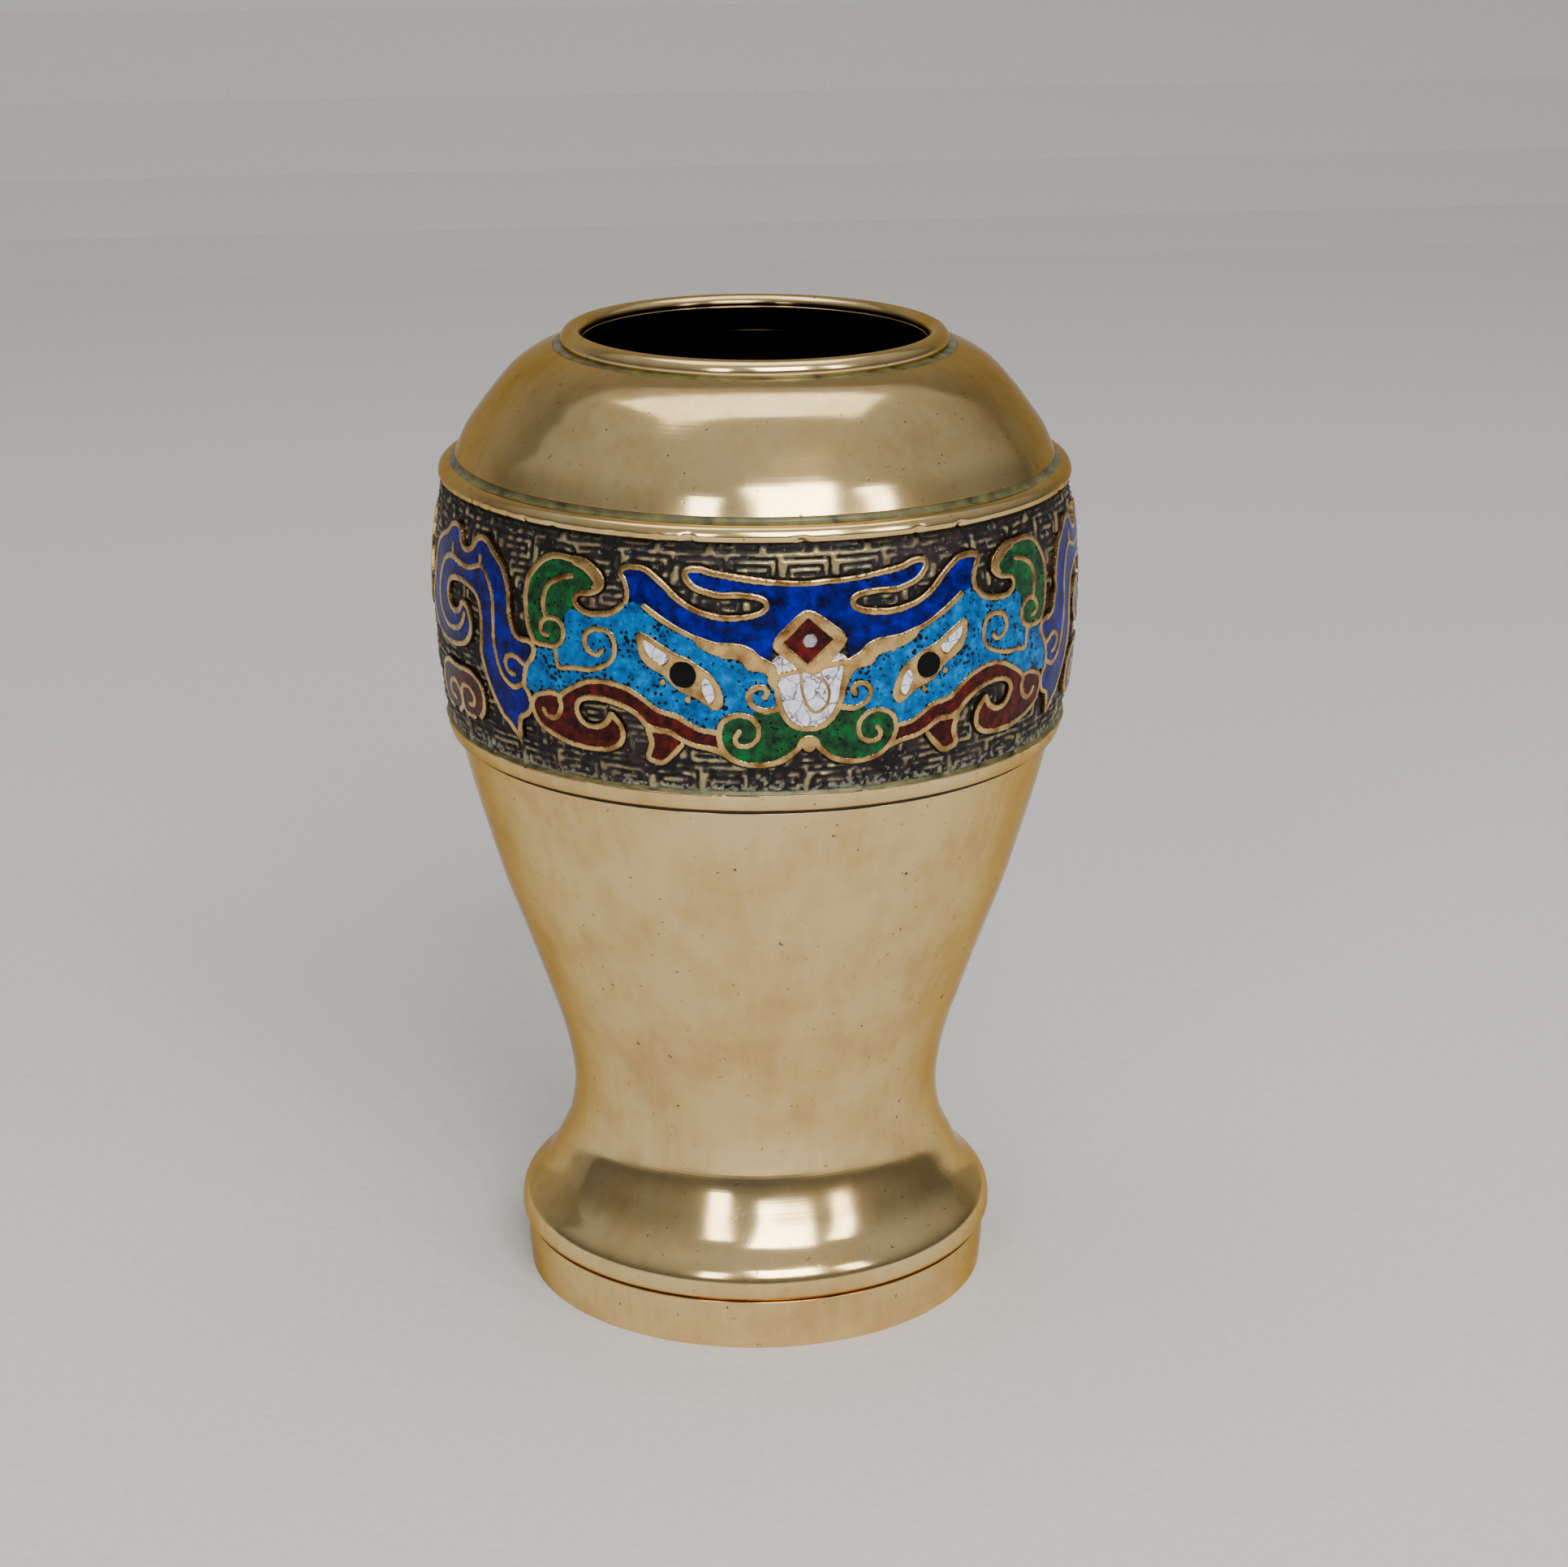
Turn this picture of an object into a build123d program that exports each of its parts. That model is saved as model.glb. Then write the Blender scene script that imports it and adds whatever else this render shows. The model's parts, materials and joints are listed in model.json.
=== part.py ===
from build123d import *
import math
import os

# A small waisted brass vase: a foot, a flared body, a band of enamelled animal masks
# between two beads, a domed shoulder and a rolled lip. Millimetres, +Z up, standing on z = 0.
# The front mask looks along -Y and the rear mask is the same work turned half round.

os.makedirs("parts", exist_ok=True)

# Driving dimensions: heights of the seats where one piece meets the next.
HEIGHT = 140.0
FOOT_TOP = 7.24
BASE_THICK = 1.5
BODY_TOP = 83.45
GROOVE_DEPTH = 0.7
GROOVE_WIDTH = 0.45
BAND_BOTTOM = 85.9
BAND_TOP = 119.8
UPPER_BEAD_TOP = 121.95
SHOULDER_BOTTOM = 122.75
LIP_SEAT = 137.2

# Walls, radii and the band.
WALL = 1.7
FOOT_R = 33.7
FOOT_EDGE_R = 34.05
FOOT_BORE_R = 31.9
BODY_SEAT_R = 33.6
GIRTH_R = 45.68          # widest radius of the enamelled band
GIRTH_Z = 103.2
CROWN_R = 98.0           # radius of the band's upright curve
WORK_R = 45.5            # radius at which the mask is laid out
RELIEF = 0.7             # cell walls and enamel stand this far off the band's ground
BEAD_BORE_R = 41.0
MOUTH_R = 23.9
COLLAR_WALL = 1.0
COLLAR_BOTTOM = 134.9
LIP_TUBE_R = 1.55
RIM_SEAM_R = 28.06
SEAM_RISE = 0.5

# The mask: widths of the metal left between the enamels.
LINE = 0.8               # cell wall width
STRETCH = 3              # spans of a centre line in one stretch of metal
LAP = 0.35               # how far an enamel outline runs under its walls before it is cut
PUPIL_R = 1.7
DOT_R = 0.9
SCRAP = 1.8              # a cell left smaller than this, in square millimetres, stays unfilled
STUD_R = 0.45
FACE_TURN = math.degrees(23.0 / WORK_R)
DRAGON_TURN = math.degrees(55.0 / WORK_R)

BRASS = Color(0.80, 0.68, 0.45)
GROUND = Color(0.16, 0.13, 0.10)
VERDIGRIS = Color(0.45, 0.55, 0.42)
COBALT = Color(0.03, 0.04, 0.50)
TURQUOISE = Color(0.06, 0.50, 0.78)
OXBLOOD = Color(0.42, 0.07, 0.07)
GREEN = Color(0.08, 0.30, 0.14)
WHITE = Color(0.85, 0.86, 0.88)
BLACK = Color(0.03, 0.03, 0.04)
GREY = Color(0.55, 0.55, 0.55)

# Upright outlines, (radius, height).
BODY_OUTLINE = [
    (BODY_SEAT_R, FOOT_TOP), (34.6, 8.1), (34.9, 9.3), (34.27, 11.7), (31.33, 14.8),
    (29.33, 18.35), (27.57, 22.4), (26.8, 27.2), (27.02, 31.6), (28.23, 37.7),
    (30.54, 44.85), (33.37, 53.0), (36.31, 61.2), (38.74, 69.3), (40.75, 76.45),
    (42.3, BODY_TOP - GROOVE_WIDTH),
]
SHOULDER_OUTLINE = [
    (41.95, SHOULDER_BOTTOM), (40.55, 125.9), (38.4, 129.0), (36.1, 132.0),
    (33.6, 134.7), (30.76, 136.6), (RIM_SEAM_R, 137.7),
]

# The mask's left half, (distance round the band, height). Centre lines of cell walls.
BROW_LINE = [
    (0, 114.7), (-2.9, 114.8), (-5.5, 115.0), (-9.3, 115.5), (-12.8, 116.0), (-14.5, 116.5),
    (-16.2, 116.4), (-16.5, 115.8), (-16.1, 115.0), (-15.1, 114.1), (-13.3, 113.5),
    (-11.8, 113.2), (-9.3, 113.3), (-7.0, 113.1), (-5.9, 112.6), (-5.7, 112.0),
    (-6.1, 111.3), (-7.7, 110.7), (-10.8, 110.3), (-13.3, 110.6), (-15.6, 111.4),
    (-17.6, 112.7), (-19.4, 114.4), (-21.2, 115.8), (-22.2, 116.2), (-23.5, 116.3),
    (-24.8, 116.0), (-25.2, 115.3), (-24.6, 114.4), (-24.2, 113.0), (-24.4, 111.7),
]
BROW_EDGE = [
    (-0.5, 111.3), (-2.0, 110.3), (-3.5, 109.0), (-4.9, 107.2), (-5.2, 105.6), (-5.8, 104.7),
    (-7.7, 106.2), (-9.3, 106.9), (-11.8, 107.1), (-14.3, 107.5), (-16.9, 108.3),
    (-19.4, 109.7), (-21.9, 111.4), (-23.2, 111.9), (-24.2, 113.0), (-24.6, 114.6),
    (-24.4, 115.7), (-23.4, 116.1), (-22.1, 116.0), (-21.1, 115.6), (-19.4, 114.2),
    (-17.6, 112.6), (-15.6, 111.3), (-13.3, 110.5), (-10.8, 110.3), (-7.7, 110.7),
    (-6.1, 111.3), (-5.7, 112.0), (-5.9, 112.6), (-7.0, 113.1), (-9.3, 113.3),
    (-11.8, 113.2), (-13.3, 113.5), (-15.1, 114.1), (-16.0, 115.0), (-16.2, 115.8),
    (-15.8, 116.2), (-14.5, 116.4), (-12.8, 116.0), (-9.3, 115.5), (-5.5, 115.0),
    (-0.5, 114.7),
]
BROW_TAIL_LINE = [(-21.9, 111.4), (-20.6, 110.5), (-19.4, 109.7), (-16.9, 108.3), (-13.9, 107.1)]
BROW_WEDGE = [
    (-15.2, 107.9), (-13.2, 107.4), (-11.8, 107.1), (-9.3, 107.0), (-7.7, 106.4),
    (-6.6, 105.4), (-5.4, 104.7), (-4.5, 103.9), (-4.2, 102.2), (-4.3, 100.9),
    (-4.9, 101.0), (-5.3, 102.0), (-6.1, 103.0), (-8.3, 103.5), (-9.1, 104.6),
    (-11.0, 105.0), (-12.8, 105.5), (-14.6, 106.5),
]
NOSE_LINE = [
    (-4.9, 104.2), (-4.7, 102.5), (-4.3, 100.8), (-4.1, 99.2), (-3.4, 97.4), (-2.3, 96.0),
    (-0.8, 95.4), (0, 95.4),
]
NOSE_EDGE = [
    (-0.3, 103.5), (-2.0, 104.1), (-3.6, 105.0), (-4.8, 104.1), (-4.6, 102.5), (-4.3, 100.8),
    (-4.0, 99.2), (-3.3, 97.4), (-2.2, 96.1), (-0.8, 95.5),
]
NOSE_STROKE = [
    (-1.2, 103.0), (-1.0, 100.5), (-0.3, 98.5), (0.9, 97.6), (2.1, 98.5), (2.5, 100.3),
    (1.9, 101.8), (0.9, 102.4),
]
NOSTRIL_LINE = [
    (-4.2, 98.2), (-6.0, 97.9), (-7.5, 98.6), (-8.1, 99.9), (-7.5, 100.9), (-6.3, 101.1),
    (-5.6, 100.5), (-6.0, 99.8),
]
CHIN_LINE = [
    (0, 94.0), (-0.9, 93.7), (-1.4, 92.7), (-2.4, 91.8), (-3.4, 91.1), (-5.2, 90.5),
    (-7.7, 90.4), (-9.3, 90.8), (-10.7, 91.7), (-11.6, 93.0), (-11.9, 94.5), (-11.6, 96.0),
    (-10.7, 96.9), (-9.3, 97.3), (-7.7, 96.9), (-6.8, 95.7), (-6.9, 94.1), (-8.0, 93.1),
    (-9.3, 93.1), (-9.8, 94.0), (-9.3, 95.0),
]
CHIN_EDGE = [
    (-0.6, 93.9), (-1.2, 93.0), (-2.4, 91.9), (-3.5, 91.2), (-5.2, 90.6), (-7.7, 90.5),
    (-9.3, 90.9), (-10.6, 91.8), (-11.5, 93.0), (-11.7, 94.5), (-11.4, 95.9), (-10.6, 96.7),
    (-9.3, 97.1), (-8.0, 97.2), (-7.1, 97.8), (-6.0, 97.9), (-4.3, 98.1), (-3.5, 97.4),
    (-2.4, 96.0), (-0.7, 95.3),
]
EYE_EDGE = [
    (-22.8, 107.8), (-21.9, 107.9), (-19.9, 106.8), (-17.6, 105.4), (-15.9, 104.8),
    (-14.3, 103.8), (-12.8, 102.8), (-11.8, 101.5), (-11.3, 100.0), (-11.3, 98.7),
    (-12.3, 97.8), (-13.6, 98.6), (-15.1, 99.5), (-16.9, 100.1), (-18.1, 101.0),
    (-19.2, 102.2), (-20.9, 103.1), (-22.3, 104.5), (-22.8, 106.3),
]
EYE_OUTER_WHITE = [
    (-21.8, 106.9), (-20.5, 106.2), (-18.6, 105.0), (-18.6, 104.4), (-19.3, 103.7),
    (-20.1, 104.2), (-21.5, 105.4),
]
EYE_INNER_WHITE = [
    (-13.6, 102.2), (-12.8, 101.5), (-12.4, 99.7), (-13.1, 98.9), (-13.8, 100.0),
    (-14.1, 101.2),
]
EYE_STUDS = [(-11.2, 105.3), (-19.3, 101.3), (-16.0, 99.2)]
FACE_EDGE = [
    (-5.4, 101.9), (-6.0, 103.0), (-8.3, 103.4), (-8.9, 104.5), (-11.0, 104.9),
    (-12.8, 105.3), (-14.3, 106.3), (-16.9, 107.8), (-19.4, 109.2), (-21.9, 111.0),
    (-22.6, 111.5), (-23.6, 111.4), (-25.3, 110.0), (-27.0, 109.2), (-29.5, 108.8),
    (-31.8, 109.2), (-32.8, 109.1), (-33.2, 108.3), (-33.3, 106.5), (-33.8, 105.0),
    (-34.6, 104.2), (-36.0, 103.6), (-38.0, 103.5), (-38.8, 102.0), (-39.8, 99.9),
    (-40.2, 98.5), (-39.2, 97.8), (-36.5, 98.3), (-35.0, 98.4), (-33.4, 99.0),
    (-31.6, 100.1), (-29.8, 101.0), (-27.2, 101.2), (-24.4, 100.7), (-22.0, 99.5),
    (-20.0, 98.1), (-17.5, 97.4), (-15.7, 96.4), (-14.2, 95.5), (-12.6, 95.3),
    (-12.2, 96.3), (-10.9, 97.4), (-9.3, 97.8), (-7.8, 97.6), (-7.0, 98.0), (-5.8, 98.3),
    (-4.6, 98.6), (-4.5, 99.7), (-4.8, 100.9),
]
HOOK_LINE = [
    (-35.1, 104.0), (-35.0, 102.8), (-34.6, 101.6), (-32.6, 101.8), (-30.3, 101.9),
    (-28.3, 102.4), (-26.7, 103.3), (-26.0, 104.5), (-26.0, 106.0), (-26.7, 107.3),
    (-28.3, 107.6), (-29.8, 107.1), (-30.4, 105.8), (-29.8, 104.5), (-28.5, 104.1),
    (-27.8, 104.8),
]
JAW_TOP_LINE = [
    (-12.0, 94.8), (-14.3, 95.1), (-15.9, 95.9), (-17.6, 96.9), (-20.2, 97.5), (-22.2, 98.9),
    (-24.4, 100.1), (-27.2, 100.7), (-29.8, 100.4), (-31.8, 99.5), (-33.6, 98.4),
    (-34.6, 97.4), (-34.4, 96.2), (-34.9, 94.9), (-35.9, 94.3), (-37.0, 94.5), (-37.5, 95.2),
]
JAW_LOBE_LINE = [
    (-34.5, 97.6), (-35.9, 97.9), (-37.1, 97.6), (-38.7, 97.0), (-39.5, 95.8), (-39.3, 94.5),
    (-38.4, 93.1), (-36.6, 92.1), (-34.4, 91.4), (-32.1, 91.0), (-29.5, 91.0),
    (-27.3, 91.3), (-25.7, 92.2), (-25.1, 93.5), (-25.4, 94.8), (-26.0, 95.6), (-26.7, 96.2),
]
JAW_UNDER_LINE = [
    (-26.7, 96.2), (-27.3, 95.1), (-28.5, 94.3), (-29.8, 94.1), (-31.1, 94.6), (-31.8, 95.7),
    (-31.8, 96.9), (-30.8, 97.9), (-28.8, 98.3), (-26.7, 98.1), (-24.5, 97.4),
    (-22.8, 96.4), (-21.7, 95.2), (-20.7, 94.8), (-18.6, 94.6), (-16.9, 93.6),
    (-15.1, 92.9), (-12.9, 92.6), (-10.9, 91.9),
]
JAW_EDGE = [
    (-11.6, 93.4), (-12.0, 94.8), (-14.3, 95.1), (-15.9, 95.9), (-17.6, 96.9), (-20.2, 97.5),
    (-22.2, 98.9), (-24.4, 100.1), (-27.2, 100.7), (-29.8, 100.4), (-31.8, 99.5),
    (-33.4, 98.5), (-34.6, 97.8), (-35.9, 97.9), (-37.1, 97.6), (-38.7, 97.0),
    (-39.5, 95.8), (-39.3, 94.5), (-38.4, 93.1), (-36.6, 92.1), (-34.4, 91.4),
    (-32.1, 91.0), (-29.5, 91.0), (-27.3, 91.3), (-25.7, 92.2), (-25.1, 93.5),
    (-25.4, 94.8), (-26.0, 95.6), (-26.7, 95.9), (-27.3, 95.1), (-28.5, 94.3),
    (-29.8, 94.1), (-31.1, 94.6), (-31.8, 95.7), (-31.8, 96.9), (-30.8, 97.9),
    (-28.8, 98.3), (-26.7, 98.1), (-24.5, 97.4), (-22.8, 96.4), (-21.7, 95.2),
    (-20.7, 94.8), (-18.6, 94.6), (-16.9, 93.6), (-15.1, 92.9), (-12.9, 92.6),
    (-11.4, 92.4),
]
TOOTH_LINE = [
    (-20.8, 94.7), (-21.5, 94.6), (-21.1, 92.8), (-21.7, 90.9), (-20.9, 90.3), (-19.6, 90.2),
    (-18.1, 91.5), (-17.0, 92.8),
]
TOOTH_EDGE = [
    (-20.7, 94.5), (-18.6, 94.2), (-17.6, 93.5), (-17.9, 92.0), (-19.6, 90.7), (-21.0, 90.8),
    (-21.0, 92.6),
]
HORN_LINE = [
    (-38.7, 104.5), (-39.5, 105.8), (-40.05, 107.8), (-40.2, 110.3), (-39.9, 112.6),
    (-38.9, 114.2), (-37.4, 115.7), (-35.4, 116.4), (-32.8, 116.4), (-31.0, 116.4),
    (-29.5, 115.7), (-28.3, 114.7), (-27.9, 113.6), (-28.5, 112.8), (-29.8, 112.2),
    (-31.5, 111.9), (-32.1, 111.1), (-31.7, 110.1), (-30.3, 109.5), (-28.3, 109.6),
    (-26.2, 110.1), (-24.9, 111.2),
]
HORN_TIP = [
    (-27.9, 113.7), (-28.4, 114.8), (-29.6, 115.8), (-31.0, 116.5), (-32.8, 116.5),
    (-32.4, 115.7), (-31.0, 115.2), (-29.8, 114.4), (-29.2, 113.7), (-29.6, 112.9),
    (-28.5, 112.8),
]
HORN_SPIRAL = [
    (-38.7, 104.5), (-37.4, 104.3), (-35.9, 104.3), (-34.4, 104.8), (-33.7, 106.0),
    (-34.0, 107.3), (-35.1, 108.1), (-36.6, 108.0), (-37.5, 107.1), (-37.4, 106.0),
    (-36.4, 105.7),
]
HORN_STROKE = [
    (-32.6, 114.2), (-34.6, 113.6), (-36.4, 112.5), (-37.0, 110.9), (-37.0, 109.3),
    (-36.6, 108.1),
]
HORN_EDGE = [
    (-38.6, 105.0), (-39.4, 106.4), (-39.8, 108.5), (-39.8, 111.0), (-39.4, 112.9),
    (-38.4, 114.2), (-36.9, 115.4), (-35.0, 116.1), (-32.8, 115.9), (-31.0, 115.3),
    (-29.8, 114.5), (-29.0, 113.8), (-29.2, 113.0), (-30.5, 112.4), (-31.9, 112.1),
    (-32.5, 111.2), (-32.4, 110.2), (-33.2, 109.1), (-34.0, 108.2), (-34.0, 106.1),
    (-34.7, 105.0), (-36.0, 104.6), (-37.6, 104.5),
]
DRAGON_LINE = [
    (-42.8, 90.4), (-43.5, 90.9), (-44.7, 92.1), (-45.9, 92.9), (-47.4, 94.9), (-48.7, 97.2),
    (-49.4, 99.2), (-49.8, 101.0), (-49.6, 103.2), (-49.7, 105.5), (-50.2, 107.3),
    (-51.2, 108.6), (-53.2, 109.3), (-55.8, 109.5), (-58.3, 109.2), (-59.8, 108.3),
    (-60.3, 106.8), (-59.8, 105.5), (-58.3, 104.7), (-56.8, 104.8), (-55.8, 105.4),
    (-55.3, 106.2), (-54.4, 106.4), (-53.5, 105.8), (-52.7, 104.5), (-52.6, 103.0),
    (-53.4, 101.7), (-54.9, 100.7), (-57.5, 100.0), (-60.3, 99.8), (-63.1, 100.2),
    (-65.6, 101.2), (-67.4, 102.8), (-68.2, 104.7), (-67.7, 106.8), (-66.9, 108.8),
    (-66.5, 110.9), (-65.6, 112.6), (-63.9, 113.8), (-61.6, 114.8), (-60.3, 115.9),
    (-59.0, 116.4), (-57.5, 116.4), (-56.8, 115.8), (-56.4, 114.7), (-55.5, 113.9),
    (-54.0, 113.9), (-52.5, 114.7), (-51.7, 115.8), (-50.4, 116.3), (-48.9, 116.0),
    (-47.4, 114.9), (-45.6, 113.6), (-44.5, 111.9), (-43.8, 110.1), (-43.6, 107.8),
    (-43.2, 106.3), (-42.5, 104.9), (-41.3, 104.3), (-39.7, 104.3), (-38.8, 103.5),
    (-39.2, 102.2), (-40.2, 101.0), (-40.7, 99.2), (-40.8, 97.9), (-40.1, 96.9),
    (-39.8, 95.3), (-40.6, 94.1), (-42.0, 93.3), (-42.5, 91.9), (-42.6, 90.5),
]
DRAGON_STROKE = [
    (-54.5, 104.9), (-55.0, 103.8), (-56.3, 102.6), (-58.3, 102.1), (-60.6, 102.2),
    (-62.6, 103.3), (-63.9, 104.8), (-64.0, 106.8), (-63.4, 108.8), (-62.1, 110.6),
    (-60.6, 111.6), (-58.8, 112.0), (-56.8, 111.7), (-54.0, 111.6), (-51.7, 112.2),
    (-50.4, 112.6), (-49.4, 112.2), (-48.3, 111.0), (-47.4, 109.3), (-46.9, 106.8),
    (-46.8, 104.3), (-46.6, 102.0), (-45.9, 99.7), (-44.9, 98.2), (-43.0, 97.4),
    (-41.3, 98.1),
]
DRAGON_SPIKES = [[(-58.8, 112.0), (-59.05, 113.6)], [(-50.4, 112.6), (-50.4, 113.8)]]
DRAGON_CURL = [
    (-40.8, 101.0), (-42.2, 101.7), (-43.6, 101.6), (-44.4, 100.5), (-43.7, 99.4),
    (-42.7, 99.2),
]
CLOUD_LINE = [
    (-61.3, 90.1), (-62.9, 90.3), (-64.1, 91.6), (-64.6, 93.1), (-64.1, 94.6), (-63.1, 96.1),
    (-61.3, 96.8), (-58.8, 96.7), (-56.3, 96.8), (-54.2, 97.0), (-52.2, 96.5),
    (-50.9, 95.4), (-50.4, 93.9), (-50.7, 92.2), (-51.7, 91.1),
]
CLOUD_EDGE = CLOUD_LINE + [(-53.7, 90.7), (-56.2, 90.9), (-58.8, 90.5)]
CLOUD_SPIRALS = [
    [
        (-58.8, 90.2), (-57.5, 91.1), (-57.3, 92.6), (-57.8, 93.6), (-59.3, 94.3),
        (-60.8, 94.0), (-61.6, 93.0), (-61.1, 91.9), (-59.8, 91.7),
    ],
    [
        (-53.7, 90.6), (-55.3, 90.5), (-56.5, 90.8), (-57.0, 91.8), (-56.8, 93.9),
        (-55.5, 94.6), (-54.0, 94.4), (-53.1, 93.4), (-53.5, 92.4), (-54.7, 92.1),
    ],
]
JEWEL_EDGE = [(-3.5, 107.0), (-0.35, 110.2), (3.1, 107.3), (-0.3, 104.1)]
JEWEL_RIM = [
    (-5.0, 106.9), (-3.0, 109.4), (-0.3, 111.3), (3.0, 109.4), (4.9, 107.3), (3.4, 105.0),
    (0.4, 102.7), (-3.4, 105.0),
]
JEWEL_DOT = (0, 107.2)
CHIN_DOT = (0, 93.0)


def save(shape, name, color):
    """Write one piece to its own file."""
    shape.color = color
    shape.label = name
    export_step(shape, "parts/" + name + ".step")


def offset_points(points, distance, closed=False):
    """Move each point square to its line, to the left of the way that the line runs."""
    count = len(points)
    moved = []
    for i in range(count):
        before = points[(i - 1) % count] if closed else points[max(i - 1, 0)]
        after = points[(i + 1) % count] if closed else points[min(i + 1, count - 1)]
        dx = after[0] - before[0]
        dy = after[1] - before[1]
        length = math.hypot(dx, dy)
        moved.append((points[i][0] - dy / length * distance, points[i][1] + dx / length * distance))
    return moved


def turned(section):
    """Turn an upright section, drawn as radius and height, once round the vase's axis."""
    return revolve(Plane.XZ * section, Axis.Z)


def shell_section(outline, thickness, top_run):
    """Section of a shell: a smooth outline and its inner line, closed by top_run."""
    inner = offset_points(outline, thickness)
    inner[0] = (outline[0][0] - thickness, outline[0][1])
    inner[-1] = top_run[-1]
    outer_line = Spline(*outline)
    inner_line = Spline(*inner)
    top_line = Polyline(outline[-1], *top_run)
    bottom_line = Line(outline[0], inner[0])
    return make_face([*outer_line.edges(), *top_line.edges(), *inner_line.edges(), bottom_line])


def band_radius(height):
    """Radius of the finished band, metal and enamel alike, at a height."""
    return GIRTH_R - CROWN_R + math.sqrt(CROWN_R**2 - (height - GIRTH_Z) ** 2)


def band_section(outside, inside, bottom, top):
    """Upright section between two curves that run inside the band's finished surface."""
    def curve(depth):
        heights = [bottom + (top - bottom) * step / 4 for step in range(5)]
        return [(band_radius(z) - depth, z) for z in heights]
    outer = curve(outside)
    inner = curve(inside)
    return make_face([
        Spline(*outer),
        Line(outer[-1], inner[-1]),
        Spline(*inner),
        Line(inner[0], outer[0]),
    ])


def foot_ring():
    """Near-upright skirt that the vase stands on, a little fuller at half height."""
    half = FOOT_TOP / 2
    outside = ThreePointArc((FOOT_R, 0), (FOOT_R + 0.3, half), (FOOT_EDGE_R, FOOT_TOP))
    rest = Polyline((FOOT_EDGE_R, FOOT_TOP), (FOOT_BORE_R, FOOT_TOP), (FOOT_BORE_R, 0), (FOOT_R, 0))
    return turned(make_face([outside, *rest.edges()]))


def base_plate():
    """Flat disc that closes the bottom, flush with the top of the foot ring."""
    return Pos(0, 0, FOOT_TOP - BASE_THICK) * Cylinder(
        FOOT_BORE_R, BASE_THICK, align=(Align.CENTER, Align.CENTER, Align.MIN)
    )


def body_casting():
    """Flange, waist and flared body, with a rebate at the top that leaves a dark groove."""
    outer_top = BODY_OUTLINE[-1][0]
    groove_r = outer_top - GROOVE_DEPTH
    inner_r = outer_top - WALL - 0.2
    top_run = [
        (groove_r, BODY_TOP - GROOVE_WIDTH),
        (groove_r, BODY_TOP),
        (inner_r, BODY_TOP),
        (inner_r, BODY_TOP - GROOVE_WIDTH),
    ]
    return turned(shell_section(BODY_OUTLINE, WALL, top_run))


def lower_bead():
    """Flat band of brass under the decoration, flush with it at the top."""
    top_r = band_radius(BAND_BOTTOM)
    outline = Polyline(
        (BEAD_BORE_R, BODY_TOP), (top_r - 0.95, BODY_TOP), (top_r - 0.65, BODY_TOP + 0.2),
        (top_r, BAND_BOTTOM - 0.25), (top_r - 0.1, BAND_BOTTOM), (BEAD_BORE_R, BAND_BOTTOM),
        close=True,
    )
    return turned(make_face(outline.edges()))


def lower_seam():
    """Solder and green deposit in the corner over the lower bead."""
    ground_r = band_radius(BAND_BOTTOM) - RELIEF
    corner = Polyline(
        (ground_r, BAND_BOTTOM), (ground_r + 0.45, BAND_BOTTOM),
        (band_radius(BAND_BOTTOM + 0.6) - RELIEF, BAND_BOTTOM + 0.6), close=True,
    )
    return turned(make_face(corner.edges())) - band_wall()


def band_wall():
    """The drum that carries the decoration."""
    return turned(band_section(RELIEF, RELIEF + WALL, BAND_BOTTOM, BAND_TOP))


def upper_bead():
    """Rounded bead over the decoration."""
    base_r = band_radius(BAND_TOP) - 0.35
    top_r = 43.09
    nose = ThreePointArc((base_r, BAND_TOP), (base_r + 0.38, BAND_TOP + 1.0), (top_r, UPPER_BEAD_TOP))
    rest = Polyline(
        (top_r, UPPER_BEAD_TOP), (BEAD_BORE_R - 0.8, UPPER_BEAD_TOP),
        (BEAD_BORE_R - 0.8, BAND_TOP), (base_r, BAND_TOP),
    )
    return turned(make_face([nose, *rest.edges()]))


def shoulder_seam():
    """Green cove of solder between the upper bead and the shoulder."""
    shoulder_r = SHOULDER_OUTLINE[0][0]
    inner_r = shoulder_r - WALL
    cove = ThreePointArc(
        (shoulder_r + 0.75, UPPER_BEAD_TOP), (shoulder_r + 0.1, UPPER_BEAD_TOP + 0.25),
        (shoulder_r - 0.1, SHOULDER_BOTTOM),
    )
    rest = Polyline(
        (shoulder_r - 0.1, SHOULDER_BOTTOM), (inner_r, SHOULDER_BOTTOM),
        (inner_r, UPPER_BEAD_TOP), (shoulder_r + 0.75, UPPER_BEAD_TOP),
    )
    return turned(make_face([cove, *rest.edges()]))


def lip_circle():
    """Round section of the rolled lip."""
    return Pos(MOUTH_R + LIP_TUBE_R, HEIGHT - LIP_TUBE_R) * Circle(LIP_TUBE_R)


def shoulder_dome():
    """Plain domed top, with a flat seat for the lip and its solder."""
    bore_r = MOUTH_R + COLLAR_WALL
    top_run = [(RIM_SEAM_R, LIP_SEAT), (bore_r, LIP_SEAT), (bore_r, LIP_SEAT - WALL + 0.5)]
    return turned(shell_section(SHOULDER_OUTLINE, WALL, top_run))


def rim_seam():
    """Solder round the lip, laid on the dome's seat."""
    bore_r = MOUTH_R + COLLAR_WALL
    outline = Polyline(
        (bore_r, LIP_SEAT), (RIM_SEAM_R, LIP_SEAT), (RIM_SEAM_R, LIP_SEAT + SEAM_RISE),
        (RIM_SEAM_R - 1.0, LIP_SEAT + SEAM_RISE + 0.15), (bore_r, LIP_SEAT + SEAM_RISE + 0.15),
        close=True,
    )
    lip_side = Pos(MOUTH_R, LIP_SEAT) * Rectangle(2.3, 2, align=(Align.MIN, Align.MIN))
    return turned(make_face(outline.edges()) - lip_circle() - lip_side)


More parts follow.
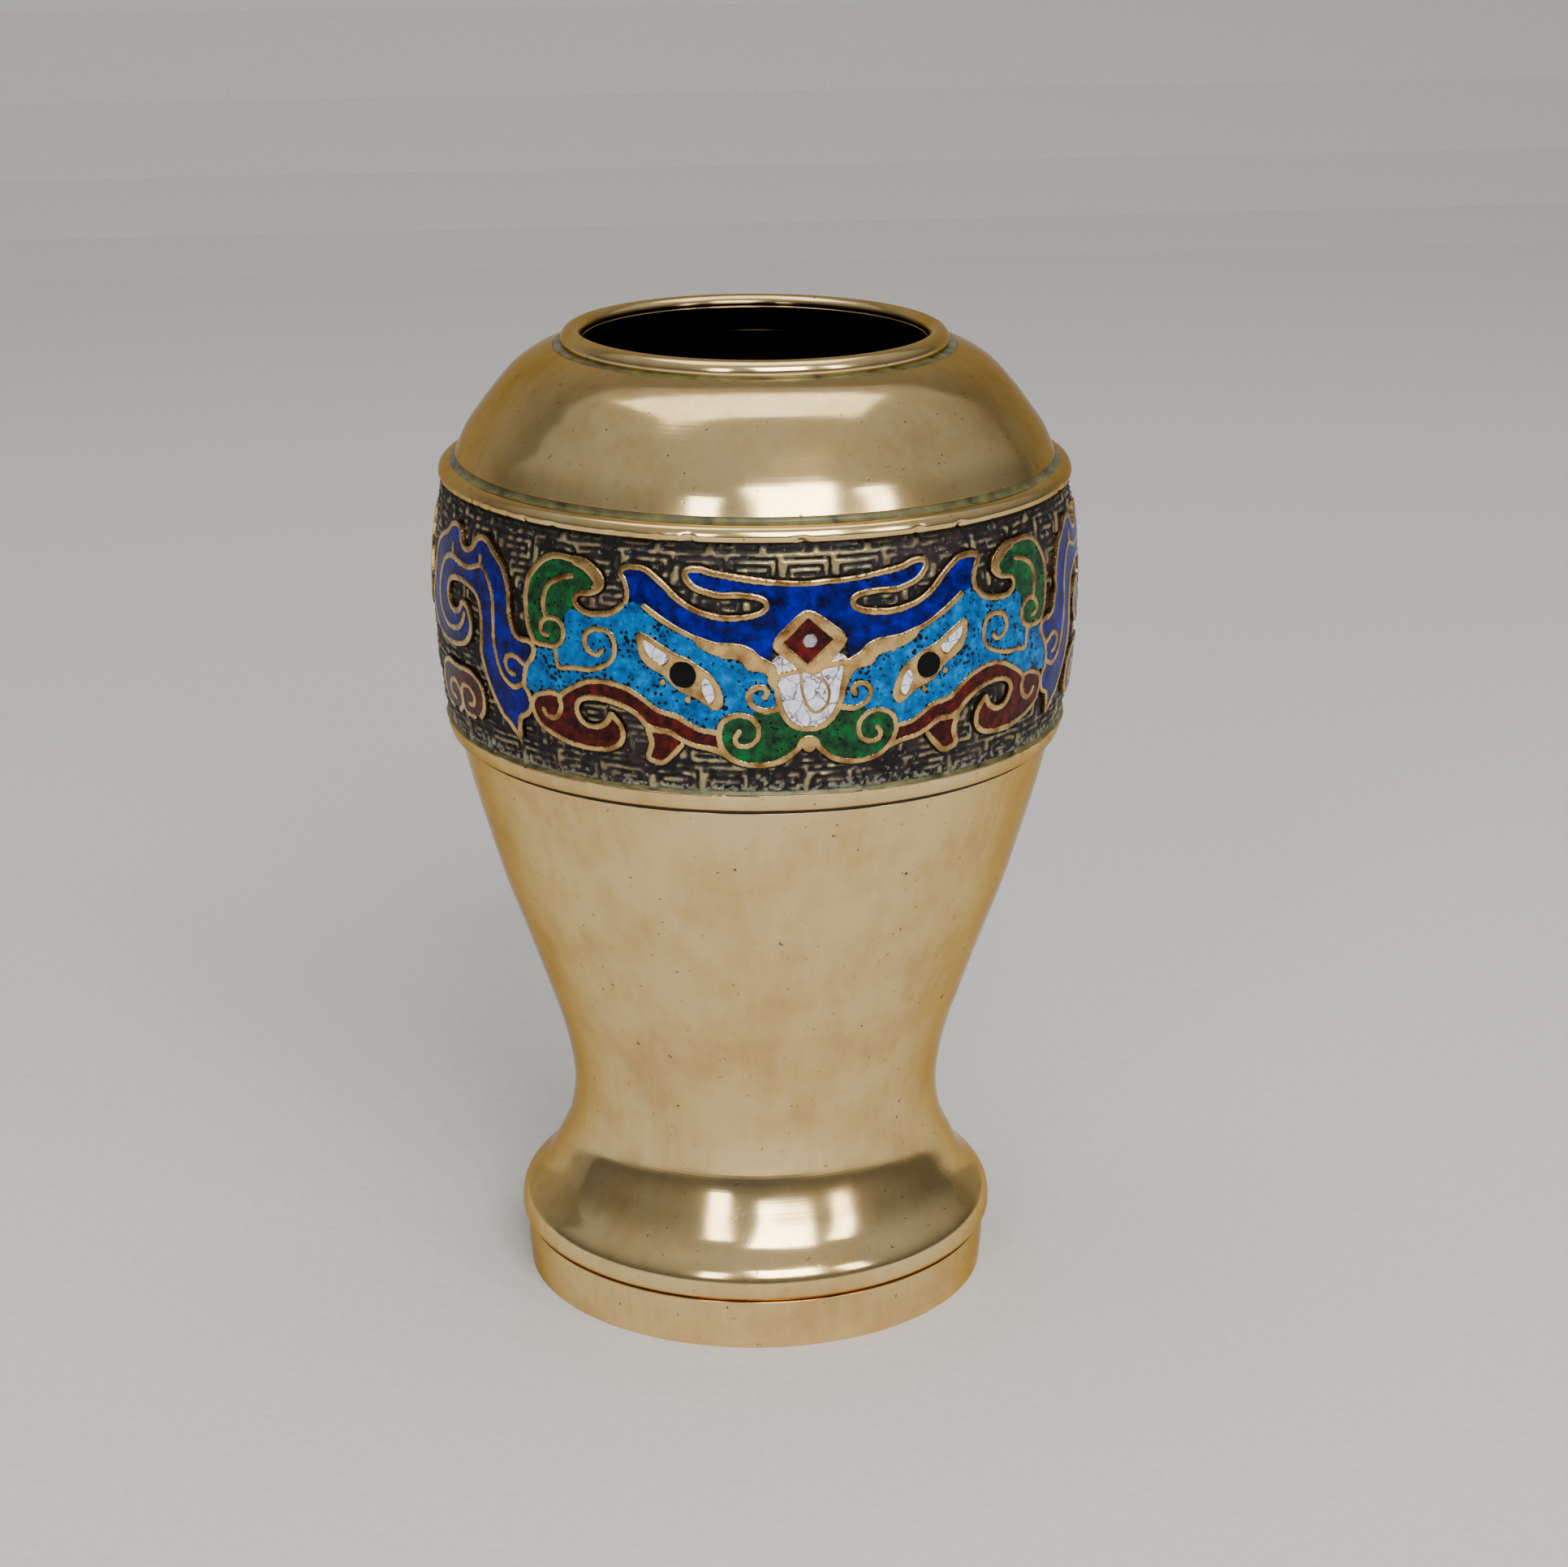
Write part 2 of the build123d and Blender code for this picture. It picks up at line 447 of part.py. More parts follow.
def neck_collar():
    """Short turned collar inside the mouth."""
    height = HEIGHT - LIP_TUBE_R - COLLAR_BOTTOM
    corner = Pos(MOUTH_R, COLLAR_BOTTOM)
    return turned(corner * Rectangle(COLLAR_WALL, height, align=(Align.MIN, Align.MIN)))


def rim_roll():
    """Rolled lip, seated on the dome and over the collar's top edge."""
    collar = Rectangle(MOUTH_R + COLLAR_WALL, HEIGHT - LIP_TUBE_R, align=(Align.MIN, Align.MIN))
    below = Rectangle(HEIGHT, LIP_SEAT, align=(Align.MIN, Align.MIN))
    return turned(lip_circle() - collar - below)


def work_plane(turn):
    """Upright plane through the axis, square to the front of the vase turned by an angle."""
    angle = math.radians(turn)
    return Plane(
        origin=(0, 0, 0),
        x_dir=(math.cos(angle), math.sin(angle), 0),
        z_dir=(math.sin(angle), -math.cos(angle), 0),
    )


def flatten(points, turn):
    """Points round the band, as seen square on from the front turned by an angle."""
    angle = math.radians(turn)
    return [(band_radius(z) * math.sin(u / WORK_R - angle), z) for u, z in points]


def strip_face(left, right):
    """A short stretch of metal between its two sides."""
    if len(left) == 2:
        return make_face(Polyline(*left, *reversed(right), close=True).edges())
    ends = [Line(left[0], right[0]), Line(left[-1], right[-1])]
    return make_face([Spline(*left), Spline(*right), *ends])


def wall_face(points, turn, width=LINE):
    """A strip of metal along a centre line, joined from short stretches."""
    line = flatten(points, turn)
    left = offset_points(line, width / 2)
    right = offset_points(line, -width / 2)
    starts = range(0, len(line) - 1, STRETCH)
    return joined([strip_face(left[i:i + STRETCH + 1], right[i:i + STRETCH + 1]) for i in starts])


def cell_face(points, turn, lap=0.0):
    """The smooth closed outline of one cell, grown by the lap under its walls."""
    line = flatten(points, turn)
    area = sum(a[0] * b[1] - b[0] * a[1] for a, b in zip(line, line[1:] + line[:1]))
    outward = -lap if area > 0 else lap
    if lap:
        line = offset_points(line, outward, closed=True)
    return make_face(Spline(*line, periodic=True).edges())


def mirrored(points):
    """A left outline carried on to the right, back to where it started."""
    return points + [(-u, z) for u, z in reversed(points) if u != 0]


def round_face(center, radius, turn):
    """A round spot on the band."""
    spot = flatten([center], turn)[0]
    return Pos(*spot) * Circle(radius)


def relief(face, turn):
    """Stand a flat outline up on the band's ground, finished flush with the band's surface."""
    reach = GIRTH_R + 2
    prism = extrude(work_plane(turn) * face, reach)
    return prism & BAND_SKIN


def glass(face, turn):
    """Enamel in a cell, without the scraps that are too small to hold any."""
    cells = [cell for cell in face.faces() if cell.area > SCRAP]
    return relief(Sketch() + cells, turn)


def joined(faces):
    """Fuse several flat outlines."""
    total = faces[0]
    for face in faces[1:]:
        total = total + face
    return total


def centre_lines():
    """Walls that cross the middle of the mask, as one flat outline."""
    left = [BROW_TAIL_LINE, NOSTRIL_LINE]
    strips = [wall_face(line, 0) for line in left]
    strips += [wall_face([(-u, z) for u, z in line], 0) for line in left]
    for half in (BROW_LINE, NOSE_LINE, CHIN_LINE):
        whole = [(-u, z) for u, z in reversed(half)] + half[1:]
        strips.append(wall_face(whole, 0))
    wedge = cell_face(BROW_WEDGE, 0)
    strips.append(wedge)
    strips.append(mirror(wedge, about=Plane.YZ))
    strips.append(make_face(Polyline(*flatten(JEWEL_RIM, 0), close=True).edges()))
    strips.append(round_face(CHIN_DOT, DOT_R, 0))
    jewel = make_face(Polyline(*flatten(JEWEL_EDGE, 0), close=True).edges())
    return joined(strips) - jewel


def side_lines():
    """Walls of the face, jaw and horn on the left, as one flat outline."""
    strips = [wall_face(line, -FACE_TURN) for line in (
        HOOK_LINE, JAW_TOP_LINE, JAW_LOBE_LINE, JAW_UNDER_LINE, TOOTH_LINE,
        HORN_LINE, HORN_SPIRAL, HORN_STROKE,
    )]
    strips.append(cell_face(HORN_TIP, -FACE_TURN))
    return joined(strips)


def dragon_lines():
    """Walls of the dragon and the cloud on the left, as one flat outline."""
    lines = [DRAGON_LINE, DRAGON_STROKE, DRAGON_CURL, CLOUD_LINE] + DRAGON_SPIKES + CLOUD_SPIRALS
    return joined([wall_face(line, -DRAGON_TURN) for line in lines])


def eye_faces():
    """The left eye: its brass almond and studs, its two whites and its pupil."""
    turn = -FACE_TURN
    almond = cell_face(EYE_EDGE, turn)
    whites = [cell_face(EYE_OUTER_WHITE, turn), cell_face(EYE_INNER_WHITE, turn)]
    pupil = round_face((-16.6, 102.5), PUPIL_R, turn)
    mount = almond - whites[0] - whites[1] - pupil
    studs = [round_face(stud, STUD_R, turn) for stud in EYE_STUDS]
    return mount, studs, whites, pupil


def both_sides(solid):
    """A left piece and its right twin, as one group."""
    twin = mirror(solid, about=Plane.YZ)
    return Compound(children=[*solid.solids(), *twin.solids()])


def group(parts):
    """Separate solids kept together in one node."""
    return Compound(children=[piece for part in parts for piece in part.solids()])


def centre_pieces():
    """Pieces on the mask's middle: its walls, brow, nose, chin and jewel."""
    walls = centre_lines()
    jewel = make_face(Polyline(*flatten(JEWEL_EDGE, 0), close=True).edges())
    dot = round_face(JEWEL_DOT, DOT_R, 0)
    stroke = wall_face(NOSE_STROKE, 0, LINE / 2)
    nose = cell_face(mirrored(NOSE_EDGE), 0, LAP) - walls - stroke
    brow = cell_face(mirrored(BROW_EDGE), 0) - walls
    chin = cell_face(mirrored(CHIN_EDGE), 0) - walls
    return [
        ("centre_walls", BRASS, relief(walls, 0)),
        ("nose_stroke", BRASS, relief(stroke, 0)),
        ("brow_enamel", COBALT, glass(brow, 0)),
        ("nose_enamel", WHITE, glass(nose, 0)),
        ("chin_enamel", GREEN, glass(chin, 0)),
        ("jewel_enamel", OXBLOOD, glass(jewel - dot, 0)),
        ("jewel_dot", GREY, relief(dot, 0)),
    ]


def eye_pieces(centre_metal):
    """Both eyes: brass almonds with their studs, whites and pupils."""
    mount, studs, whites, pupil = eye_faces()
    metal = [relief(mount, -FACE_TURN) - centre_metal]
    metal += [relief(stud, -FACE_TURN) for stud in studs]
    return [
        ("eye_mounts", BRASS, both_sides(group(metal))),
        ("eye_whites", WHITE, both_sides(group([glass(white, -FACE_TURN) for white in whites]))),
        ("pupils", BLACK, both_sides(relief(pupil, -FACE_TURN))),
    ]


def side_pieces(centre):
    """The left face, horn, jaw, dragon and cloud, cut clear of the middle of the mask."""
    side = side_lines()
    dragon = dragon_lines()
    eye = cell_face(EYE_EDGE, -FACE_TURN)
    face = cell_face(FACE_EDGE, -FACE_TURN, LAP) - side - eye
    for stud in EYE_STUDS:
        face = face - round_face(stud, STUD_R, -FACE_TURN)
    horn = cell_face(HORN_EDGE, -FACE_TURN) - side - cell_face(FACE_EDGE, -FACE_TURN, LAP)
    jaw = cell_face(JAW_EDGE, -FACE_TURN) - side
    scales = cell_face(DRAGON_LINE, -DRAGON_TURN) - dragon

    middle = (centre["centre_walls"], centre["chin_enamel"], centre["brow_enamel"])
    side_metal = clear_of(relief(side, -FACE_TURN), middle)
    face_glass = clear_of(glass(face, -FACE_TURN), middle)
    jaw_glass = clear_of(glass(jaw, -FACE_TURN), middle)
    horn_glass = clear_of(glass(horn, -FACE_TURN), middle)
    inner = (side_metal, face_glass, jaw_glass)
    return [
        ("face_walls", BRASS, side_metal),
        ("face_enamel", TURQUOISE, face_glass),
        ("jaw_enamel", OXBLOOD, jaw_glass),
        ("horn_enamel", GREEN, horn_glass),
        ("dragon_walls", BRASS, clear_of(relief(dragon, -DRAGON_TURN), inner)),
        ("dragon_enamel", COBALT, clear_of(glass(scales, -DRAGON_TURN), inner)),
    ]


def clear_of(shape, others):
    """Cut a piece back from the pieces that it meets."""
    for other in others:
        shape = shape - other
    return shape


def mask():
    """Every piece of one mask, as node name ending, colour and shape."""
    pieces = centre_pieces()
    centre = {name: shape for name, color, shape in pieces}
    pieces += eye_pieces(centre["centre_walls"])
    tooth = cell_face(TOOTH_EDGE, -FACE_TURN) - side_lines()
    cloud = cell_face(CLOUD_EDGE, -DRAGON_TURN) - dragon_lines()
    pieces.append(("tooth_enamel", OXBLOOD, both_sides(glass(tooth, -FACE_TURN))))
    pieces.append(("cloud_enamel", OXBLOOD, both_sides(glass(cloud, -DRAGON_TURN))))
    for name, color, shape in side_pieces(centre):
        pieces.append(("left_" + name, color, shape))
        pieces.append(("right_" + name, color, mirror(shape, about=Plane.YZ)))
    return pieces


BAND_SKIN = turned(band_section(0, RELIEF, BAND_BOTTOM, BAND_TOP))

save(foot_ring(), "foot_ring", BRASS)
save(base_plate(), "base_plate", BRASS)
save(body_casting(), "body_casting", BRASS)
save(lower_bead(), "lower_bead", BRASS)
save(lower_seam(), "lower_seam", VERDIGRIS)
save(band_wall(), "band_wall", GROUND)
save(upper_bead(), "upper_bead", BRASS)
save(shoulder_seam(), "shoulder_seam", VERDIGRIS)
save(shoulder_dome(), "shoulder_dome", BRASS)
save(rim_seam(), "rim_seam", VERDIGRIS)
save(neck_collar(), "neck_collar", BRASS)
save(rim_roll(), "rim_roll", BRASS)

for piece_name, piece_color, piece in mask():
    save(piece, "front_" + piece_name, piece_color)
    save(Rot(0, 0, 180) * piece, "rear_" + piece_name, piece_color)
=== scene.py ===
import bpy
import json
import math
import numpy as np
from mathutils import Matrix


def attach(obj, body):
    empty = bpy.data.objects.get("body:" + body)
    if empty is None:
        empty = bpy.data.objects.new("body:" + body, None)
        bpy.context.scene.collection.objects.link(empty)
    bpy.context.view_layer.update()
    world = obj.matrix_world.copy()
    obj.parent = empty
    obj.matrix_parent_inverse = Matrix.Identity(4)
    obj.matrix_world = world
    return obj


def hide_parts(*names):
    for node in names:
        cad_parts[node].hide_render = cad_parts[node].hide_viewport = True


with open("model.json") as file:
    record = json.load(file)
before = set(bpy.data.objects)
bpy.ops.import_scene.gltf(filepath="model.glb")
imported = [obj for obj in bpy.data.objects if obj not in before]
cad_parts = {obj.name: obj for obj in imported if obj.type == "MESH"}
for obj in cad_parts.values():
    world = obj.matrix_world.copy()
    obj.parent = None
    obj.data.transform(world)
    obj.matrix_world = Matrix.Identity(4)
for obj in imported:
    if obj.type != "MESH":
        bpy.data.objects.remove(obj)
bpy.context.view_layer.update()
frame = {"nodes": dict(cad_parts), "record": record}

# A waisted brass vase: turned brass above and below, and one band of animal masks in
# fired enamel between brass cell walls, on a dark key-fret ground. Everything is laid out in
# millimetres round the band and up the vase, and made in metres.
#
#   1. Sizes and outlines     4. Turned pieces
#   2. Finishes               5. The enamelled band
#   3. Lines and meshes       6. Studio and camera

record = frame["record"]
SLOT_OF = {part["node"]: part["material_slot"] for part in record["subparts"]}
MM = 0.001

# ---- 1. Sizes and outlines ------------------------------------------------------------------
# Heights and radii, in millimetres.
HEIGHT = 140.0
FOOT_TOP = 7.24
BODY_TOP = 83.45
GROOVE_DEPTH = 0.7
GROOVE_WIDTH = 0.7
BAND_BOTTOM = 85.9
BAND_TOP = 119.8
UPPER_BEAD_TOP = 121.95
SHOULDER_BOTTOM = 122.75
LIP_SEAT = 137.2
WALL = 1.7
FOOT_R = 33.7
FOOT_EDGE_R = 34.05
FOOT_BORE_R = 31.9
BODY_SEAT_R = 33.6
GIRTH_R = 45.68
GIRTH_Z = 103.2
CROWN_R = 98.0
WORK_R = 45.5
RELIEF = 0.7
MOUTH_R = 23.9
COLLAR_WALL = 1.0
COLLAR_BOTTOM = 134.9
LIP_TUBE_R = 1.55
RIM_SEAM_R = 28.06
LINE = 0.8         # width of a cell wall
LAP = 0.35         # how far a cell's glass reaches under its walls
PUPIL_R = 1.7
DOT_R = 0.9
STUD_R = 0.45

# Upright outlines, (radius, height).
BODY_OUTLINE = [
    (BODY_SEAT_R, FOOT_TOP), (34.6, 8.1), (34.9, 9.3), (34.27, 11.7), (31.33, 14.8),
    (29.33, 18.35), (27.57, 22.4), (26.8, 27.2), (27.02, 31.6), (28.23, 37.7),
    (30.54, 44.85), (33.37, 53.0), (36.31, 61.2), (38.74, 69.3), (40.75, 76.45),
    (42.3, BODY_TOP - GROOVE_WIDTH),
]
SHOULDER_OUTLINE = [
    (41.95, SHOULDER_BOTTOM), (40.55, 125.9), (38.4, 129.0), (36.1, 132.0),
    (33.6, 134.7), (30.76, 136.6), (RIM_SEAM_R, 137.7),
]

# The mask's left half, (distance round the band, height). Centre lines of cell walls.
BROW_LINE = [
    (0, 114.7), (-2.9, 114.8), (-5.5, 115.0), (-9.3, 115.5), (-12.8, 116.0), (-14.5, 116.5),
    (-16.2, 116.4), (-16.5, 115.8), (-16.1, 115.0), (-15.1, 114.1), (-13.3, 113.5),
    (-11.8, 113.2), (-9.3, 113.3), (-7.0, 113.1), (-5.9, 112.6), (-5.7, 112.0),
    (-6.1, 111.3), (-7.7, 110.7), (-10.8, 110.3), (-13.3, 110.6), (-15.6, 111.4),
    (-17.6, 112.7), (-19.4, 114.4), (-21.2, 115.8), (-22.2, 116.2), (-23.5, 116.3),
    (-24.8, 116.0), (-25.2, 115.3), (-24.6, 114.4), (-24.2, 113.0), (-24.4, 111.7),
]
BROW_EDGE = [
    (-0.5, 111.3), (-2.0, 110.3), (-3.5, 109.0), (-4.9, 107.2), (-5.2, 105.6), (-5.8, 104.7),
    (-7.7, 106.2), (-9.3, 106.9), (-11.8, 107.1), (-14.3, 107.5), (-16.9, 108.3),
    (-19.4, 109.7), (-21.9, 111.4), (-23.2, 111.9), (-24.2, 113.0), (-24.6, 114.6),
    (-24.4, 115.7), (-23.4, 116.1), (-22.1, 116.0), (-21.1, 115.6), (-19.4, 114.2),
    (-17.6, 112.6), (-15.6, 111.3), (-13.3, 110.5), (-10.8, 110.3), (-7.7, 110.7),
    (-6.1, 111.3), (-5.7, 112.0), (-5.9, 112.6), (-7.0, 113.1), (-9.3, 113.3),
    (-11.8, 113.2), (-13.3, 113.5), (-15.1, 114.1), (-16.0, 115.0), (-16.2, 115.8),
    (-15.8, 116.2), (-14.5, 116.4), (-12.8, 116.0), (-9.3, 115.5), (-5.5, 115.0),
    (-0.5, 114.7),
]
BROW_TAIL_LINE = [(-21.9, 111.4), (-20.6, 110.5), (-19.4, 109.7), (-16.9, 108.3), (-13.9, 107.1)]
BROW_WEDGE = [
    (-15.2, 107.9), (-13.2, 107.4), (-11.8, 107.1), (-9.3, 107.0), (-7.7, 106.4),
    (-6.6, 105.4), (-5.4, 104.7), (-4.5, 103.9), (-4.2, 102.2), (-4.3, 100.9),
    (-4.9, 101.0), (-5.3, 102.0), (-6.1, 103.0), (-8.3, 103.5), (-9.1, 104.6),
    (-11.0, 105.0), (-12.8, 105.5), (-14.6, 106.5),
]
NOSE_LINE = [
    (-4.9, 104.2), (-4.7, 102.5), (-4.3, 100.8), (-4.1, 99.2), (-3.4, 97.4), (-2.3, 96.0),
    (-0.8, 95.4), (0, 95.4),
]
NOSE_EDGE = [
    (-0.3, 103.5), (-2.0, 104.1), (-3.6, 105.0), (-4.8, 104.1), (-4.6, 102.5), (-4.3, 100.8),
    (-4.0, 99.2), (-3.3, 97.4), (-2.2, 96.1), (-0.8, 95.5),
]
NOSE_STROKE = [
    (-1.2, 103.0), (-1.0, 100.5), (-0.3, 98.5), (0.9, 97.6), (2.1, 98.5), (2.5, 100.3),
    (1.9, 101.8), (0.9, 102.4),
]
NOSTRIL_LINE = [
    (-4.2, 98.2), (-6.0, 97.9), (-7.5, 98.6), (-8.1, 99.9), (-7.5, 100.9), (-6.3, 101.1),
    (-5.6, 100.5), (-6.0, 99.8),
]
CHIN_LINE = [
    (0, 94.0), (-0.9, 93.7), (-1.4, 92.7), (-2.4, 91.8), (-3.4, 91.1), (-5.2, 90.5),
    (-7.7, 90.4), (-9.3, 90.8), (-10.7, 91.7), (-11.6, 93.0), (-11.9, 94.5), (-11.6, 96.0),
    (-10.7, 96.9), (-9.3, 97.3), (-7.7, 96.9), (-6.8, 95.7), (-6.9, 94.1), (-8.0, 93.1),
    (-9.3, 93.1), (-9.8, 94.0), (-9.3, 95.0),
]
CHIN_EDGE = [
    (-0.6, 93.9), (-1.2, 93.0), (-2.4, 91.9), (-3.5, 91.2), (-5.2, 90.6), (-7.7, 90.5),
    (-9.3, 90.9), (-10.6, 91.8), (-11.5, 93.0), (-11.7, 94.5), (-11.4, 95.9), (-10.6, 96.7),
    (-9.3, 97.1), (-8.0, 97.2), (-7.1, 97.8), (-6.0, 97.9), (-4.3, 98.1), (-3.5, 97.4),
    (-2.4, 96.0), (-0.7, 95.3),
]
EYE_EDGE = [
    (-22.8, 107.8), (-21.9, 107.9), (-19.9, 106.8), (-17.6, 105.4), (-15.9, 104.8),
    (-14.3, 103.8), (-12.8, 102.8), (-11.8, 101.5), (-11.3, 100.0), (-11.3, 98.7),
    (-12.3, 97.8), (-13.6, 98.6), (-15.1, 99.5), (-16.9, 100.1), (-18.1, 101.0),
    (-19.2, 102.2), (-20.9, 103.1), (-22.3, 104.5), (-22.8, 106.3),
]
EYE_OUTER_WHITE = [
    (-21.8, 106.9), (-20.5, 106.2), (-18.6, 105.0), (-18.6, 104.4), (-19.3, 103.7),
    (-20.1, 104.2), (-21.5, 105.4),
]
EYE_INNER_WHITE = [
    (-13.6, 102.2), (-12.8, 101.5), (-12.4, 99.7), (-13.1, 98.9), (-13.8, 100.0),
    (-14.1, 101.2),
]
EYE_STUDS = [(-11.2, 105.3), (-19.3, 101.3), (-16.0, 99.2)]
FACE_EDGE = [
    (-5.4, 101.9), (-6.0, 103.0), (-8.3, 103.4), (-8.9, 104.5), (-11.0, 104.9),
    (-12.8, 105.3), (-14.3, 106.3), (-16.9, 107.8), (-19.4, 109.2), (-21.9, 111.0),
    (-22.6, 111.5), (-23.6, 111.4), (-25.3, 110.0), (-27.0, 109.2), (-29.5, 108.8),
    (-31.8, 109.2), (-32.8, 109.1), (-33.2, 108.3), (-33.3, 106.5), (-33.8, 105.0),
    (-34.6, 104.2), (-36.0, 103.6), (-38.0, 103.5), (-38.8, 102.0), (-39.8, 99.9),
    (-40.2, 98.5), (-39.2, 97.8), (-36.5, 98.3), (-35.0, 98.4), (-33.4, 99.0),
    (-31.6, 100.1), (-29.8, 101.0), (-27.2, 101.2), (-24.4, 100.7), (-22.0, 99.5),
    (-20.0, 98.1), (-17.5, 97.4), (-15.7, 96.4), (-14.2, 95.5), (-12.6, 95.3),
    (-12.2, 96.3), (-10.9, 97.4), (-9.3, 97.8), (-7.8, 97.6), (-7.0, 98.0), (-5.8, 98.3),
    (-4.6, 98.6), (-4.5, 99.7), (-4.8, 100.9),
]
HOOK_LINE = [
    (-35.1, 104.0), (-35.0, 102.8), (-34.6, 101.6), (-32.6, 101.8), (-30.3, 101.9),
    (-28.3, 102.4), (-26.7, 103.3), (-26.0, 104.5), (-26.0, 106.0), (-26.7, 107.3),
    (-28.3, 107.6), (-29.8, 107.1), (-30.4, 105.8), (-29.8, 104.5), (-28.5, 104.1),
    (-27.8, 104.8),
]
JAW_TOP_LINE = [
    (-12.0, 94.8), (-14.3, 95.1), (-15.9, 95.9), (-17.6, 96.9), (-20.2, 97.5), (-22.2, 98.9),
    (-24.4, 100.1), (-27.2, 100.7), (-29.8, 100.4), (-31.8, 99.5), (-33.6, 98.4),
    (-34.6, 97.4), (-34.4, 96.2), (-34.9, 94.9), (-35.9, 94.3), (-37.0, 94.5), (-37.5, 95.2),
]
JAW_LOBE_LINE = [
    (-34.5, 97.6), (-35.9, 97.9), (-37.1, 97.6), (-38.7, 97.0), (-39.5, 95.8), (-39.3, 94.5),
    (-38.4, 93.1), (-36.6, 92.1), (-34.4, 91.4), (-32.1, 91.0), (-29.5, 91.0),
    (-27.3, 91.3), (-25.7, 92.2), (-25.1, 93.5), (-25.4, 94.8), (-26.0, 95.6), (-26.7, 96.2),
]
JAW_UNDER_LINE = [
    (-26.7, 96.2), (-27.3, 95.1), (-28.5, 94.3), (-29.8, 94.1), (-31.1, 94.6), (-31.8, 95.7),
    (-31.8, 96.9), (-30.8, 97.9), (-28.8, 98.3), (-26.7, 98.1), (-24.5, 97.4),
    (-22.8, 96.4), (-21.7, 95.2), (-20.7, 94.8), (-18.6, 94.6), (-16.9, 93.6),
    (-15.1, 92.9), (-12.9, 92.6), (-10.9, 91.9),
]
JAW_EDGE = [
    (-11.6, 93.4), (-12.0, 94.8), (-14.3, 95.1), (-15.9, 95.9), (-17.6, 96.9), (-20.2, 97.5),
    (-22.2, 98.9), (-24.4, 100.1), (-27.2, 100.7), (-29.8, 100.4), (-31.8, 99.5),
    (-33.4, 98.5), (-34.6, 97.8), (-35.9, 97.9), (-37.1, 97.6), (-38.7, 97.0),
    (-39.5, 95.8), (-39.3, 94.5), (-38.4, 93.1), (-36.6, 92.1), (-34.4, 91.4),
    (-32.1, 91.0), (-29.5, 91.0), (-27.3, 91.3), (-25.7, 92.2), (-25.1, 93.5),
    (-25.4, 94.8), (-26.0, 95.6), (-26.7, 95.9), (-27.3, 95.1), (-28.5, 94.3),
    (-29.8, 94.1), (-31.1, 94.6), (-31.8, 95.7), (-31.8, 96.9), (-30.8, 97.9),
    (-28.8, 98.3), (-26.7, 98.1), (-24.5, 97.4), (-22.8, 96.4), (-21.7, 95.2),
    (-20.7, 94.8), (-18.6, 94.6), (-16.9, 93.6), (-15.1, 92.9), (-12.9, 92.6),
    (-11.4, 92.4),
]
TOOTH_LINE = [
    (-20.8, 94.7), (-21.5, 94.6), (-21.1, 92.8), (-21.7, 90.9), (-20.9, 90.3), (-19.6, 90.2),
    (-18.1, 91.5), (-17.0, 92.8),
]
TOOTH_EDGE = [
    (-20.7, 94.5), (-18.6, 94.2), (-17.6, 93.5), (-17.9, 92.0), (-19.6, 90.7), (-21.0, 90.8),
    (-21.0, 92.6),
]
HORN_LINE = [
    (-38.7, 104.5), (-39.5, 105.8), (-40.05, 107.8), (-40.2, 110.3), (-39.9, 112.6),
    (-38.9, 114.2), (-37.4, 115.7), (-35.4, 116.4), (-32.8, 116.4), (-31.0, 116.4),
    (-29.5, 115.7), (-28.3, 114.7), (-27.9, 113.6), (-28.5, 112.8), (-29.8, 112.2),
    (-31.5, 111.9), (-32.1, 111.1), (-31.7, 110.1), (-30.3, 109.5), (-28.3, 109.6),
    (-26.2, 110.1), (-24.9, 111.2),
]
HORN_TIP = [
    (-27.9, 113.7), (-28.4, 114.8), (-29.6, 115.8), (-31.0, 116.5), (-32.8, 116.5),
    (-32.4, 115.7), (-31.0, 115.2), (-29.8, 114.4), (-29.2, 113.7), (-29.6, 112.9),
    (-28.5, 112.8),
]
HORN_SPIRAL = [
    (-38.7, 104.5), (-37.4, 104.3), (-35.9, 104.3), (-34.4, 104.8), (-33.7, 106.0),
    (-34.0, 107.3), (-35.1, 108.1), (-36.6, 108.0), (-37.5, 107.1), (-37.4, 106.0),
    (-36.4, 105.7),
]
HORN_STROKE = [
    (-32.6, 114.2), (-34.6, 113.6), (-36.4, 112.5), (-37.0, 110.9), (-37.0, 109.3),
    (-36.6, 108.1),
]
HORN_EDGE = [
    (-38.6, 105.0), (-39.4, 106.4), (-39.8, 108.5), (-39.8, 111.0), (-39.4, 112.9),
    (-38.4, 114.2), (-36.9, 115.4), (-35.0, 116.1), (-32.8, 115.9), (-31.0, 115.3),
    (-29.8, 114.5), (-29.0, 113.8), (-29.2, 113.0), (-30.5, 112.4), (-31.9, 112.1),
    (-32.5, 111.2), (-32.4, 110.2), (-33.2, 109.1), (-34.0, 108.2), (-34.0, 106.1),
    (-34.7, 105.0), (-36.0, 104.6), (-37.6, 104.5),
]
